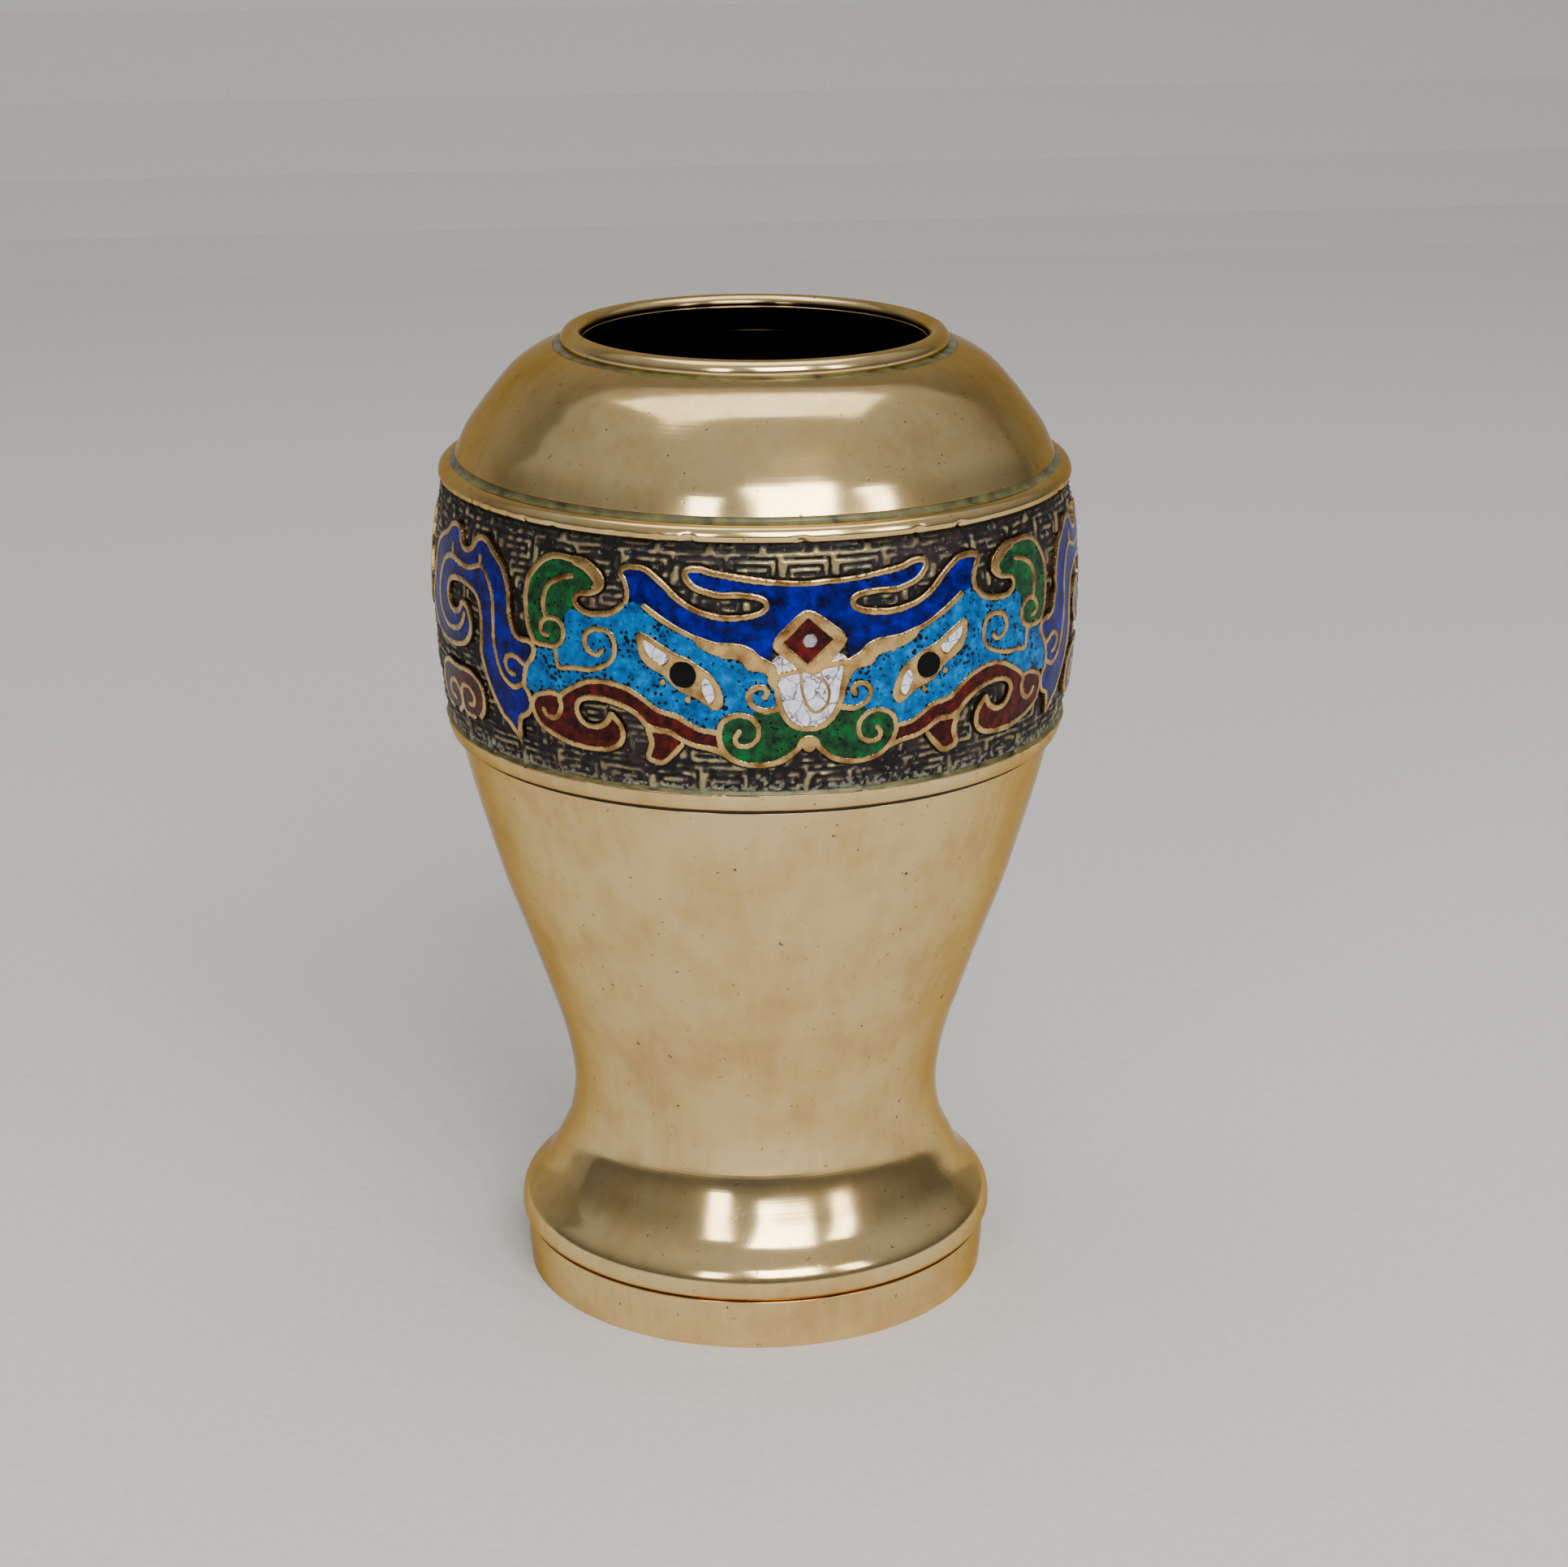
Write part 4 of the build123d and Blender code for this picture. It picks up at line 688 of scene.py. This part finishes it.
def make_turned_pieces():
    """Foot, body, beads, shoulder and lip."""
    half = FOOT_TOP / 2
    skirt = smooth([(FOOT_R, 0), (FOOT_R + 0.3, half), (FOOT_EDGE_R, FOOT_TOP)], steps=8)
    turned_piece("foot_ring", skirt + [(FOOT_BORE_R, FOOT_TOP), (FOOT_BORE_R, 0)], 2, 0.03,
                 ease=0.05)

    edge_r = BODY_OUTLINE[-1][0]
    groove_r = edge_r - GROOVE_DEPTH
    inner_r = edge_r - WALL - 0.2
    top_run = [(groove_r, BODY_TOP - GROOVE_WIDTH), (groove_r, BODY_TOP), (inner_r, BODY_TOP),
               (inner_r, BODY_TOP - GROOVE_WIDTH)]
    turned_piece("body_casting", shell_section(BODY_OUTLINE, top_run), 3, 0.02)

    # A ring flush in the groove, dark with painted shade and packed polish.
    shaded_residue_ring = turned_piece("band_wall", [
        (groove_r - 0.1, BODY_TOP - GROOVE_WIDTH), (edge_r - 0.1, BODY_TOP - GROOVE_WIDTH),
        (edge_r - 0.1, BODY_TOP), (groove_r - 0.1, BODY_TOP)], 13, 0.02, ease=0,
        stands_for_node=False)
    shaded_residue_ring.name = "groove_shade_and_residue_ring"
    shaded_residue_ring.data.materials[0] = GROOVE_SHADE_AND_RESIDUE

    top_r = band_radius(BAND_BOTTOM)
    turned_piece("lower_bead", [
        (groove_r - 0.6, BODY_TOP), (top_r - 0.95, BODY_TOP), (top_r - 0.65, BODY_TOP + 0.25),
        (top_r - 0.35, BODY_TOP + 1.2), (top_r - 0.02, BAND_BOTTOM - 0.3),
        (top_r - 0.1, BAND_BOTTOM), (groove_r - 0.6, BAND_BOTTOM)], 4, 0.05,
        nicks=knocks(14, 90, BAND_BOTTOM - 0.4, 0.4, (0.4, 1.2), (0.04, 0.2)), turns=FINE_TURNS)

    ground_r = top_r - RELIEF
    turned_piece("lower_seam", [
        (ground_r - 0.1, BAND_BOTTOM), (ground_r + 0.5, BAND_BOTTOM),
        (ground_r + 0.3, BAND_BOTTOM + 0.35), (ground_r + 0.1, BAND_BOTTOM + 0.6),
        (ground_r - 0.1, BAND_BOTTOM + 0.65)], 5, 0.12, ease=0)

    base_r = band_radius(BAND_TOP) - 0.35
    nose = smooth([(base_r, BAND_TOP), (base_r + 0.3, BAND_TOP + 0.35),
                   (base_r + 0.38, BAND_TOP + 1.0), (base_r - 0.1, BAND_TOP + 1.8),
                   (43.09, UPPER_BEAD_TOP)], steps=6)
    bead_bore = 40.2
    nicks = [(-16.0, BAND_TOP + 0.3, 0.7, 0.45), (22.5, BAND_TOP + 0.3, 0.6, 0.4)]
    nicks += knocks(11, 60, BAND_TOP, 0.5, (0.35, 0.8), (0.1, 0.35))
    turned_piece("upper_bead", nose + [(bead_bore, UPPER_BEAD_TOP), (bead_bore, BAND_TOP)], 6,
                 0.05, nicks=nicks, turns=FINE_TURNS)

    low_r = SHOULDER_OUTLINE[0][0]
    cove = smooth([(low_r + 0.75, UPPER_BEAD_TOP), (low_r + 0.1, UPPER_BEAD_TOP + 0.25),
                   (low_r - 0.1, SHOULDER_BOTTOM)], steps=4)
    turned_piece("shoulder_seam", cove + [(low_r - WALL, SHOULDER_BOTTOM),
                                          (low_r - WALL, UPPER_BEAD_TOP)], 7, 0.08, ease=0)

    bore_r = MOUTH_R + COLLAR_WALL
    dome_run = [(RIM_SEAM_R, LIP_SEAT), (bore_r, LIP_SEAT), (bore_r, LIP_SEAT - WALL + 0.5)]
    turned_piece("shoulder_dome", shell_section(SHOULDER_OUTLINE, dome_run), 8, 0.04,
                 nicks=[(24.0, 128.0, 8.0, 0.22), (-30.0, 130.0, 11.0, 0.12)])

    lip_center = (MOUTH_R + LIP_TUBE_R, HEIGHT - LIP_TUBE_R)
    turned_piece("rim_seam", [
        (bore_r + 1.6, LIP_SEAT), (RIM_SEAM_R, LIP_SEAT), (RIM_SEAM_R, LIP_SEAT + 0.46),
        (RIM_SEAM_R - 0.5, LIP_SEAT + 0.62), (RIM_SEAM_R - 1.05, LIP_SEAT + 0.6),
        (RIM_SEAM_R - 1.3, LIP_SEAT + 0.75), (bore_r + 1.6, LIP_SEAT + 0.5)], 9, 0.1, ease=0)
    turned_piece("neck_collar", [
        (MOUTH_R, COLLAR_BOTTOM), (bore_r, COLLAR_BOTTOM), (bore_r, lip_center[1]),
        (MOUTH_R, lip_center[1])], 10, 0.01)
    lower = math.degrees(math.asin((LIP_SEAT - lip_center[1]) / LIP_TUBE_R))
    roll = arc(lip_center, LIP_TUBE_R, lower, 180, 28)
    turned_piece("rim_roll", roll + [(bore_r, lip_center[1]), (bore_r, LIP_SEAT)], 12, 0.03)


# ---- 5. The enamelled band ------------------------------------------------------------------
HALF_TURN = math.pi * WORK_R       # one mask, measured round the band
COLUMNS = 840
ROWS = 204
STEP = HALF_TURN / COLUMNS
FRET_CELL = 3 * STEP               # width of a fret ridge, and of the channel beside it
FRET_TILE = (
    "##############",
    ".............#",
    "############.#",
    "#..........#.#",
    "#.########.#.#",
    "#.#........#.#",
    "#.##########.#",
    "#............#",
)
ROUND_EDGE = 0.2                   # width of the rubbed edge of a cell wall
WANDER = 0.13                      # how far the hand strayed from the drawn line
SNAP = 0.75 * STEP                 # grid points this near an outline move onto it
SNAP_MOST = 0.55 * STEP            # and by no more than this
WALL_TOP = -0.02                   # heights, from the finished surface of the band
WALL_EDGE_DROP = 0.11
GLASS_TOP = -0.06
GLASS_HOLLOW = 0.05                # how far glass sinks away from its walls
PUPIL_PROUD = 0.12
FRET_HEIGHT = 0.36
RIM_WIDTH = 0.28                   # dirt and bubbles lie this near a cell wall

columns = np.linspace(-HALF_TURN / 2, HALF_TURN / 2, COLUMNS + 1)
rows = np.linspace(BAND_BOTTOM, BAND_TOP, ROWS + 1)
ROW_STEP = rows[1] - rows[0]
GRID_U, GRID_Z = np.meshgrid(columns, rows)


def unevenness(seed, size_mm):
    """A smooth random field over one mask, from -1 to 1, that meets itself at its ends."""
    random = np.random.default_rng(seed)
    wide = max(4, round(HALF_TURN / size_mm))
    tall = max(3, round((BAND_TOP - BAND_BOTTOM) / size_mm))
    coarse = random.uniform(-1, 1, (tall + 1, wide + 1))
    coarse[:, -1] = coarse[:, 0]
    x = np.linspace(0, wide - 1e-6, COLUMNS + 1)
    y = np.linspace(0, tall - 1e-6, ROWS + 1)
    left = x.astype(int)
    low = y.astype(int)
    fx = x - left
    fy = (y - low)[:, None]
    fx = fx * fx * (3 - 2 * fx)
    fy = fy * fy * (3 - 2 * fy)
    below = coarse[low][:, left] * (1 - fx) + coarse[low][:, left + 1] * fx
    above = coarse[low + 1][:, left] * (1 - fx) + coarse[low + 1][:, left + 1] * fx
    return below * (1 - fy) + above * fy


WORK_U = GRID_U + WANDER * unevenness(21, 5)
WORK_Z = GRID_Z + WANDER * unevenness(22, 5)


def distance_to_line(line, reach=2.5):
    """Distance from every grid point to an open line, where it is near enough to matter."""
    nearest = np.full(GRID_U.shape, 1e3)
    for (ax, ay), (bx, by) in zip(line, line[1:]):
        i0 = max(0, int((min(ax, bx) - reach - columns[0]) / STEP))
        i1 = min(COLUMNS + 1, int((max(ax, bx) + reach - columns[0]) / STEP) + 2)
        j0 = max(0, int((min(ay, by) - reach - rows[0]) / ROW_STEP))
        j1 = min(ROWS + 1, int((max(ay, by) + reach - rows[0]) / ROW_STEP) + 2)
        if i0 >= i1 or j0 >= j1:
            continue
        u = WORK_U[j0:j1, i0:i1]
        z = WORK_Z[j0:j1, i0:i1]
        dx = bx - ax
        dy = by - ay
        t = np.clip(((u - ax) * dx + (z - ay) * dy) / (dx * dx + dy * dy + 1e-12), 0, 1)
        d = np.hypot(u - ax - t * dx, z - ay - t * dy)
        nearest[j0:j1, i0:i1] = np.minimum(nearest[j0:j1, i0:i1], d)
    return nearest


def inside(line):
    """Which grid points lie inside a closed line."""
    crossings = np.zeros(GRID_U.shape, dtype=bool)
    for (ax, ay), (bx, by) in zip(line, line[1:] + line[:1]):
        if ay == by:
            continue
        between = (ay > WORK_Z) != (by > WORK_Z)
        crossings ^= between & (WORK_U < (bx - ax) * (WORK_Z - ay) / (by - ay) + ax)
    return crossings


def depth_in(points, steps=4):
    """Signed distance to a closed outline, negative inside."""
    line = smooth(points, closed=True, steps=steps) if steps else list(points)
    far = distance_to_line(line + line[:1])
    return np.where(inside(line), -far, far)


def flipped(points):
    """The right-hand twin of a left-hand line."""
    return [(-u, z) for u, z in points]


def spot(center, radius):
    """Signed distance to a round spot."""
    return np.hypot(WORK_U - center[0], WORK_Z - center[1]) - radius


def whole(half):
    """A line that crosses the middle, from its left half."""
    return flipped(half)[::-1] + list(half[1:])


WIDTH = LINE + 0.12 * unevenness(23, 4)


def strip(points, width=None):
    """Signed distance to a cell wall along a centre line."""
    line = smooth(points) if len(points) > 2 else points
    return distance_to_line(line) - (WIDTH if width is None else width) / 2


def lay_out_metal():
    """Every brass line and solid on one mask: its node's name and its signed distance."""
    metal = [
        ("centre_walls", strip(whole(BROW_LINE))),
        ("centre_walls", strip(whole(NOSE_LINE))),
        ("centre_walls", strip(whole(CHIN_LINE))),
        ("centre_walls", depth_in(JEWEL_RIM)),
        ("centre_walls", spot(CHIN_DOT, DOT_R)),
        ("nose_stroke", strip(NOSE_STROKE, LINE / 2)),
    ]
    for side, turn in (("left_", list), ("right_", flipped)):
        for line in (BROW_TAIL_LINE, NOSTRIL_LINE):
            metal.append(("centre_walls", strip(turn(line))))
        metal.append(("centre_walls", depth_in(turn(BROW_WEDGE))))
        for line in (HOOK_LINE, JAW_TOP_LINE, JAW_LOBE_LINE, JAW_UNDER_LINE, TOOTH_LINE,
                     HORN_LINE, HORN_SPIRAL, HORN_STROKE):
            metal.append((side + "face_walls", strip(turn(line))))
        metal.append((side + "face_walls", depth_in(turn(HORN_TIP))))
        for line in [DRAGON_LINE, DRAGON_STROKE, DRAGON_CURL, CLOUD_LINE, *DRAGON_SPIKES,
                     *CLOUD_SPIRALS]:
            metal.append((side + "dragon_walls", strip(turn(line))))
        metal.append(("eye_mounts", depth_in(turn(EYE_EDGE))))
        for stud in EYE_STUDS:
            metal.append(("eye_mounts", spot(turn([stud])[0], STUD_R)))
    return metal


def lay_out_glass():
    """Every enamel cell on one mask: its node's name and its signed distance."""
    cells = [
        ("nose_enamel", depth_in(whole(NOSE_EDGE)) - LAP),
        ("brow_enamel", depth_in(whole(BROW_EDGE)) - 0.1),
        ("chin_enamel", depth_in(whole(CHIN_EDGE)) - 0.1),
    ]
    for side, turn in (("left_", list), ("right_", flipped)):
        cells += [
            (side + "face_enamel", depth_in(turn(FACE_EDGE)) - LAP),
            (side + "horn_enamel", depth_in(turn(HORN_EDGE)) - 0.1),
            (side + "jaw_enamel", depth_in(turn(JAW_EDGE)) - 0.05),
            ("tooth_enamel", depth_in(turn(TOOTH_EDGE)) - 0.1),
            (side + "dragon_enamel", depth_in(turn(DRAGON_LINE))),
            ("cloud_enamel", depth_in(turn(CLOUD_EDGE))),
        ]
    return cells


def lay_out_pockets():
    """Cells sunk in solid brass: the jewel, its dot, the whites and the pupils."""
    jewel = depth_in(JEWEL_EDGE, steps=0)
    dot = spot(JEWEL_DOT, DOT_R)
    pockets = [("jewel_dot", dot), ("jewel_enamel", np.maximum(jewel, -dot))]
    for turn in (list, flipped):
        pockets.append(("pupils", spot(turn([PUPIL])[0], PUPIL_R)))
        pockets.append(("eye_whites", depth_in(turn(EYE_OUTER_WHITE))))
        pockets.append(("eye_whites", depth_in(turn(EYE_INNER_WHITE))))
    return pockets


def average(field):
    """A field at the middle of each grid square."""
    return (field[1:, 1:] + field[:-1, 1:] + field[1:, :-1] + field[:-1, :-1]) / 4


def key_fret():
    """Height of the fret, from 0 in a channel to 1 on a ridge, rounded across each ridge."""
    tile = np.array([[mark == "#" for mark in row] for row in FRET_TILE[::-1]], dtype=float)
    up = (GRID_Z - rows[0]) / FRET_CELL + 0.25 * unevenness(41, 3)
    across = (GRID_U - columns[0]) / FRET_CELL + 0.2 * unevenness(42, 3)
    total = np.zeros(GRID_U.shape)
    offsets = (-0.4, -0.13, 0.13, 0.4)
    for dx in offsets:
        for dy in offsets:
            row = np.floor(up + dy).astype(int)
            column = np.floor(across + dx).astype(int) + 5 * (row // tile.shape[0])
            total += tile[row % tile.shape[0], column % tile.shape[1]]
    return total / len(offsets) ** 2


def grid_piece(name, node, squares, u, z, height, turn, skirt, mark):
    """The chosen grid squares as a mesh on the band, with sides down to the skirt's height and
    one named field marked on it for its finish."""
    j, i = np.nonzero(squares)
    width = COLUMNS + 1
    corners = np.stack([j * width + i, j * width + i + 1, (j + 1) * width + i + 1,
                        (j + 1) * width + i], axis=1)
    used, faces = np.unique(corners, return_inverse=True)
    faces = faces.reshape(-1, 4)
    flat_u = u.ravel()[used]
    flat_z = z.ravel()[used]
    flat_h = height.ravel()[used]

    def on_band(us, zs, hs):
        angle = us / WORK_R + turn
        radius = band_radius(zs) + hs
        return np.stack([radius * np.sin(angle), -radius * np.cos(angle), zs], axis=1) * MM
    points = [on_band(flat_u, flat_z, flat_h)]
    all_faces = [faces]
    if skirt is not None:
        edges = np.concatenate([faces[:, [0, 1]], faces[:, [1, 2]], faces[:, [2, 3]],
                                faces[:, [3, 0]]])
        key = np.sort(edges, axis=1)
        order, inverse, counts = np.unique(key, axis=0, return_inverse=True, return_counts=True)
        rim = edges[counts[inverse.ravel()] == 1]
        rim_used, rim_faces = np.unique(rim, return_inverse=True)
        rim_faces = rim_faces.reshape(-1, 2)
        start = len(used)
        n = len(rim_used)
        points.append(on_band(flat_u[rim_used], flat_z[rim_used], flat_h[rim_used]))
        points.append(on_band(flat_u[rim_used], flat_z[rim_used], np.full(n, skirt)))
        a = rim_faces[:, 0] + start
        b = rim_faces[:, 1] + start
        all_faces.append(np.stack([b, a, a + n, b + n], axis=1))
    vertices = np.concatenate(points)
    quads = np.concatenate(all_faces)
    piece = place_piece(name, vertices.tolist(), quads.tolist(), node, creases=60)
    label, field = mark
    values = field.ravel()[used]
    if skirt is not None:
        values = np.concatenate([values, values[rim_used], np.ones(n)])
    attribute = piece.data.attributes.new(label, "FLOAT", "POINT")
    attribute.data.foreach_set("value", values.astype(np.float32))
    return piece


def make_band():
    """Both masks and the ground between them."""
    metal = lay_out_metal()
    glass = lay_out_glass()
    pockets = lay_out_pockets()
    metal_names = sorted({name for name, field in metal})
    pocket_field = np.min([field for name, field in pockets], axis=0)
    wall = np.min([field for name, field in metal], axis=0)
    wall = np.maximum(wall, -pocket_field)

    # Slide the grid points that lie near an edge onto it, so that outlines run smooth.
    grad_z, grad_u = np.gradient(wall, ROW_STEP, STEP)
    size = grad_u**2 + grad_z**2 + 1e-6
    near = np.abs(wall) < SNAP
    u = GRID_U + np.where(near, np.clip(-wall * grad_u / size, -SNAP_MOST, SNAP_MOST), 0)
    z = GRID_Z + np.where(near, np.clip(-wall * grad_z / size, -SNAP_MOST, SNAP_MOST), 0)
    u[:, 0] = GRID_U[:, 0]
    u[:, -1] = GRID_U[:, -1]
    z[0] = GRID_Z[0]
    z[-1] = GRID_Z[-1]

    middle = average(wall)
    is_metal = middle < 0
    owner = np.full(is_metal.shape, -1)
    best = np.full(is_metal.shape, 1e3)
    for name, field in metal:
        here = average(field)
        closer = here < best
        owner[closer] = metal_names.index(name)
        best[closer] = here[closer]
    taken = is_metal.copy()

    rough = unevenness(31, 1.2)
    edge = np.clip(-wall / ROUND_EDGE, 0, 1)
    hollow = 1 - np.exp(-np.maximum(wall, 0) / 0.7)
    metal_top = WALL_TOP - WALL_EDGE_DROP * (1 - edge) ** 2 + 0.02 * rough
    glass_top = GLASS_TOP - GLASS_HOLLOW * hollow + 0.018 * rough
    side_floor = -RELIEF - 0.05

    shapes = []
    for k, name in enumerate(metal_names):
        shapes.append((name, is_metal & (owner == k), metal_top))
    cells = {}
    for name, field in pockets + glass:
        squares = (average(field) < 0) & ~taken
        taken |= squares
        cells[name] = cells.get(name, False) | squares
    for name, squares in cells.items():
        proud = PUPIL_PROUD if name == "pupils" else 0.0
        shapes.append((name, squares, glass_top + proud))

    # The fret is broken by casting flaws, and rubbed bright over the middle of the brow.
    rubbed = np.exp(-(GRID_U / 9) ** 2 - ((GRID_Z - 117.4) / 1.6) ** 2)
    broken = np.clip(0.6 + 0.75 * unevenness(33, 0.9) + 0.3 * unevenness(34, 5), 0.1, 1.0)
    worn = np.maximum(broken, np.clip(1.9 * rubbed, 0, 1.5))
    clear = np.clip((wall - 0.1) / 0.25, 0, 1)
    ridge = key_fret() * worn * clear
    ground_top = -RELIEF + FRET_HEIGHT * np.minimum(ridge, 1.1) + 0.03 * rough
    left_half = average(GRID_U) < 0
    rim = np.clip(1 - np.abs(wall) / RIM_WIDTH, 0, 1)
    for half, turn in (("front_", 0.0), ("rear_", math.pi)):
        for name, squares, top in shapes:
            piece = grid_piece(half + name + "_fired", half + name, squares, u, z, top, turn,
                               side_floor, ("rim", rim))
            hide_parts(half + name)
        for side, part in (("left", left_half), ("right", ~left_half)):
            grid_piece(half + side + "_key_fret", "band_wall", ~taken & part, u, z, ground_top,
                       turn, None, ("ridge", ridge))


make_turned_pieces()
make_band()

# The plate in the foot and the drum behind the band keep the shape they have.
for node in ("base_plate", "band_wall"):
    shown = frame["nodes"][node]
    shown.data.materials.clear()
    shown.data.materials.append(FINISHES[SLOT_OF[node]])


# ---- 6. Studio and camera -------------------------------------------------------------------
def studio_paper():
    """Matt background paper: faint fibre in a near-white sheet."""
    material, tree, place = new_material("studio_paper")
    fibre = add(tree, "TexNoise", {"Vector": place, "Scale": 1 / (1.5 * MM), "Detail": 3.0})
    colour = add(tree, "ValToRGB", {"Fac": (fibre, "Fac")},
                 stops=[(0.3, "#C6C4C0"), (0.7, "#CECCC8")])
    finish_surface(tree, {"Base Color": (colour, "Color"), "Roughness": 0.8})
    return material


def make_studio():
    """A sheet of paper swept up behind, and soft boxes in front and above."""
    front = -1.6
    back = 0.9
    bend = 0.5
    side = 2.5
    top = 2.2
    sweep = [(front, 0.0)]
    sweep += [(back + bend * math.sin(a), bend - bend * math.cos(a))
              for a in np.linspace(0, math.pi / 2, 12)]
    sweep += [(back + bend, top)]
    vertices = [(x, y, h) for y, h in sweep for x in (-side, side)]
    faces = [(2 * i, 2 * i + 1, 2 * i + 3, 2 * i + 2) for i in range(len(sweep) - 1)]
    mesh = bpy.data.meshes.new("paper_sweep")
    mesh.from_pydata(vertices, [], faces)
    mesh.materials.append(studio_paper())
    paper = bpy.data.objects.new("paper_sweep", mesh)
    bpy.context.collection.objects.link(paper)

    # Name, place, size in metres and power in watts.
    lamps = [
        ("window_soft_box", (0.12, -0.95, 0.8), (0.55, 0.6), 13.0),
        ("right_soft_box", (0.75, -0.85, 0.7), (0.2, 0.5), 3.0),
        ("left_soft_box", (-0.55, -0.95, 0.62), (0.2, 0.5), 3.0),
        ("overhead_soft_box", (0.0, 0.1, 1.3), (1.3, 0.7), 6.0),
    ]
    for name, spot_at, size, power in lamps:
        light = bpy.data.lights.new(name, "AREA")
        light.shape = "RECTANGLE"
        light.size, light.size_y = size
        light.energy = power
        lamp = bpy.data.objects.new(name, light)
        lamp.location = spot_at
        aim = np.array(LAMP_AIM) - np.array(spot_at)
        flat = math.hypot(aim[0], aim[1])
        lamp.rotation_euler = (math.atan2(flat, -aim[2]), 0, math.atan2(-aim[0], aim[1]))
        bpy.context.collection.objects.link(lamp)

    # Dim at eye level and paler overhead, so that the brass has something to show.
    world = bpy.data.worlds.new("studio_air")
    world.use_nodes = True
    sky = world.node_tree
    toward = add(sky, "SeparateXYZ", {"Vector": (add(sky, "TexCoord"), "Generated")})
    lift = add(sky, "MapRange", {"Value": (toward, "Z"), "From Min": 0.1, "From Max": 0.95,
                                 "To Min": 0.14, "To Max": 0.6})
    sky.links.new(lift.outputs["Result"], sky.nodes["Background"].inputs["Strength"])
    sky.nodes["Background"].inputs["Color"].default_value = (1, 1, 1, 1)
    bpy.context.scene.world = world


def make_camera():
    """The lens, at the height and turn that the vase is seen from."""
    data = bpy.data.cameras.new("camera")
    data.lens = LENS
    data.sensor_width = 36.0
    camera = bpy.data.objects.new("camera", data)
    camera.location = (CAMERA_BACK * math.sin(VIEW_TURN), -CAMERA_BACK * math.cos(VIEW_TURN),
                       CAMERA_UP)
    camera.rotation_mode = "XYZ"
    camera.rotation_euler = (math.pi / 2 - CAMERA_PITCH, CAMERA_ROLL, VIEW_TURN - CAMERA_YAW)
    bpy.context.collection.objects.link(camera)
    bpy.context.scene.camera = camera


make_studio()
make_camera()
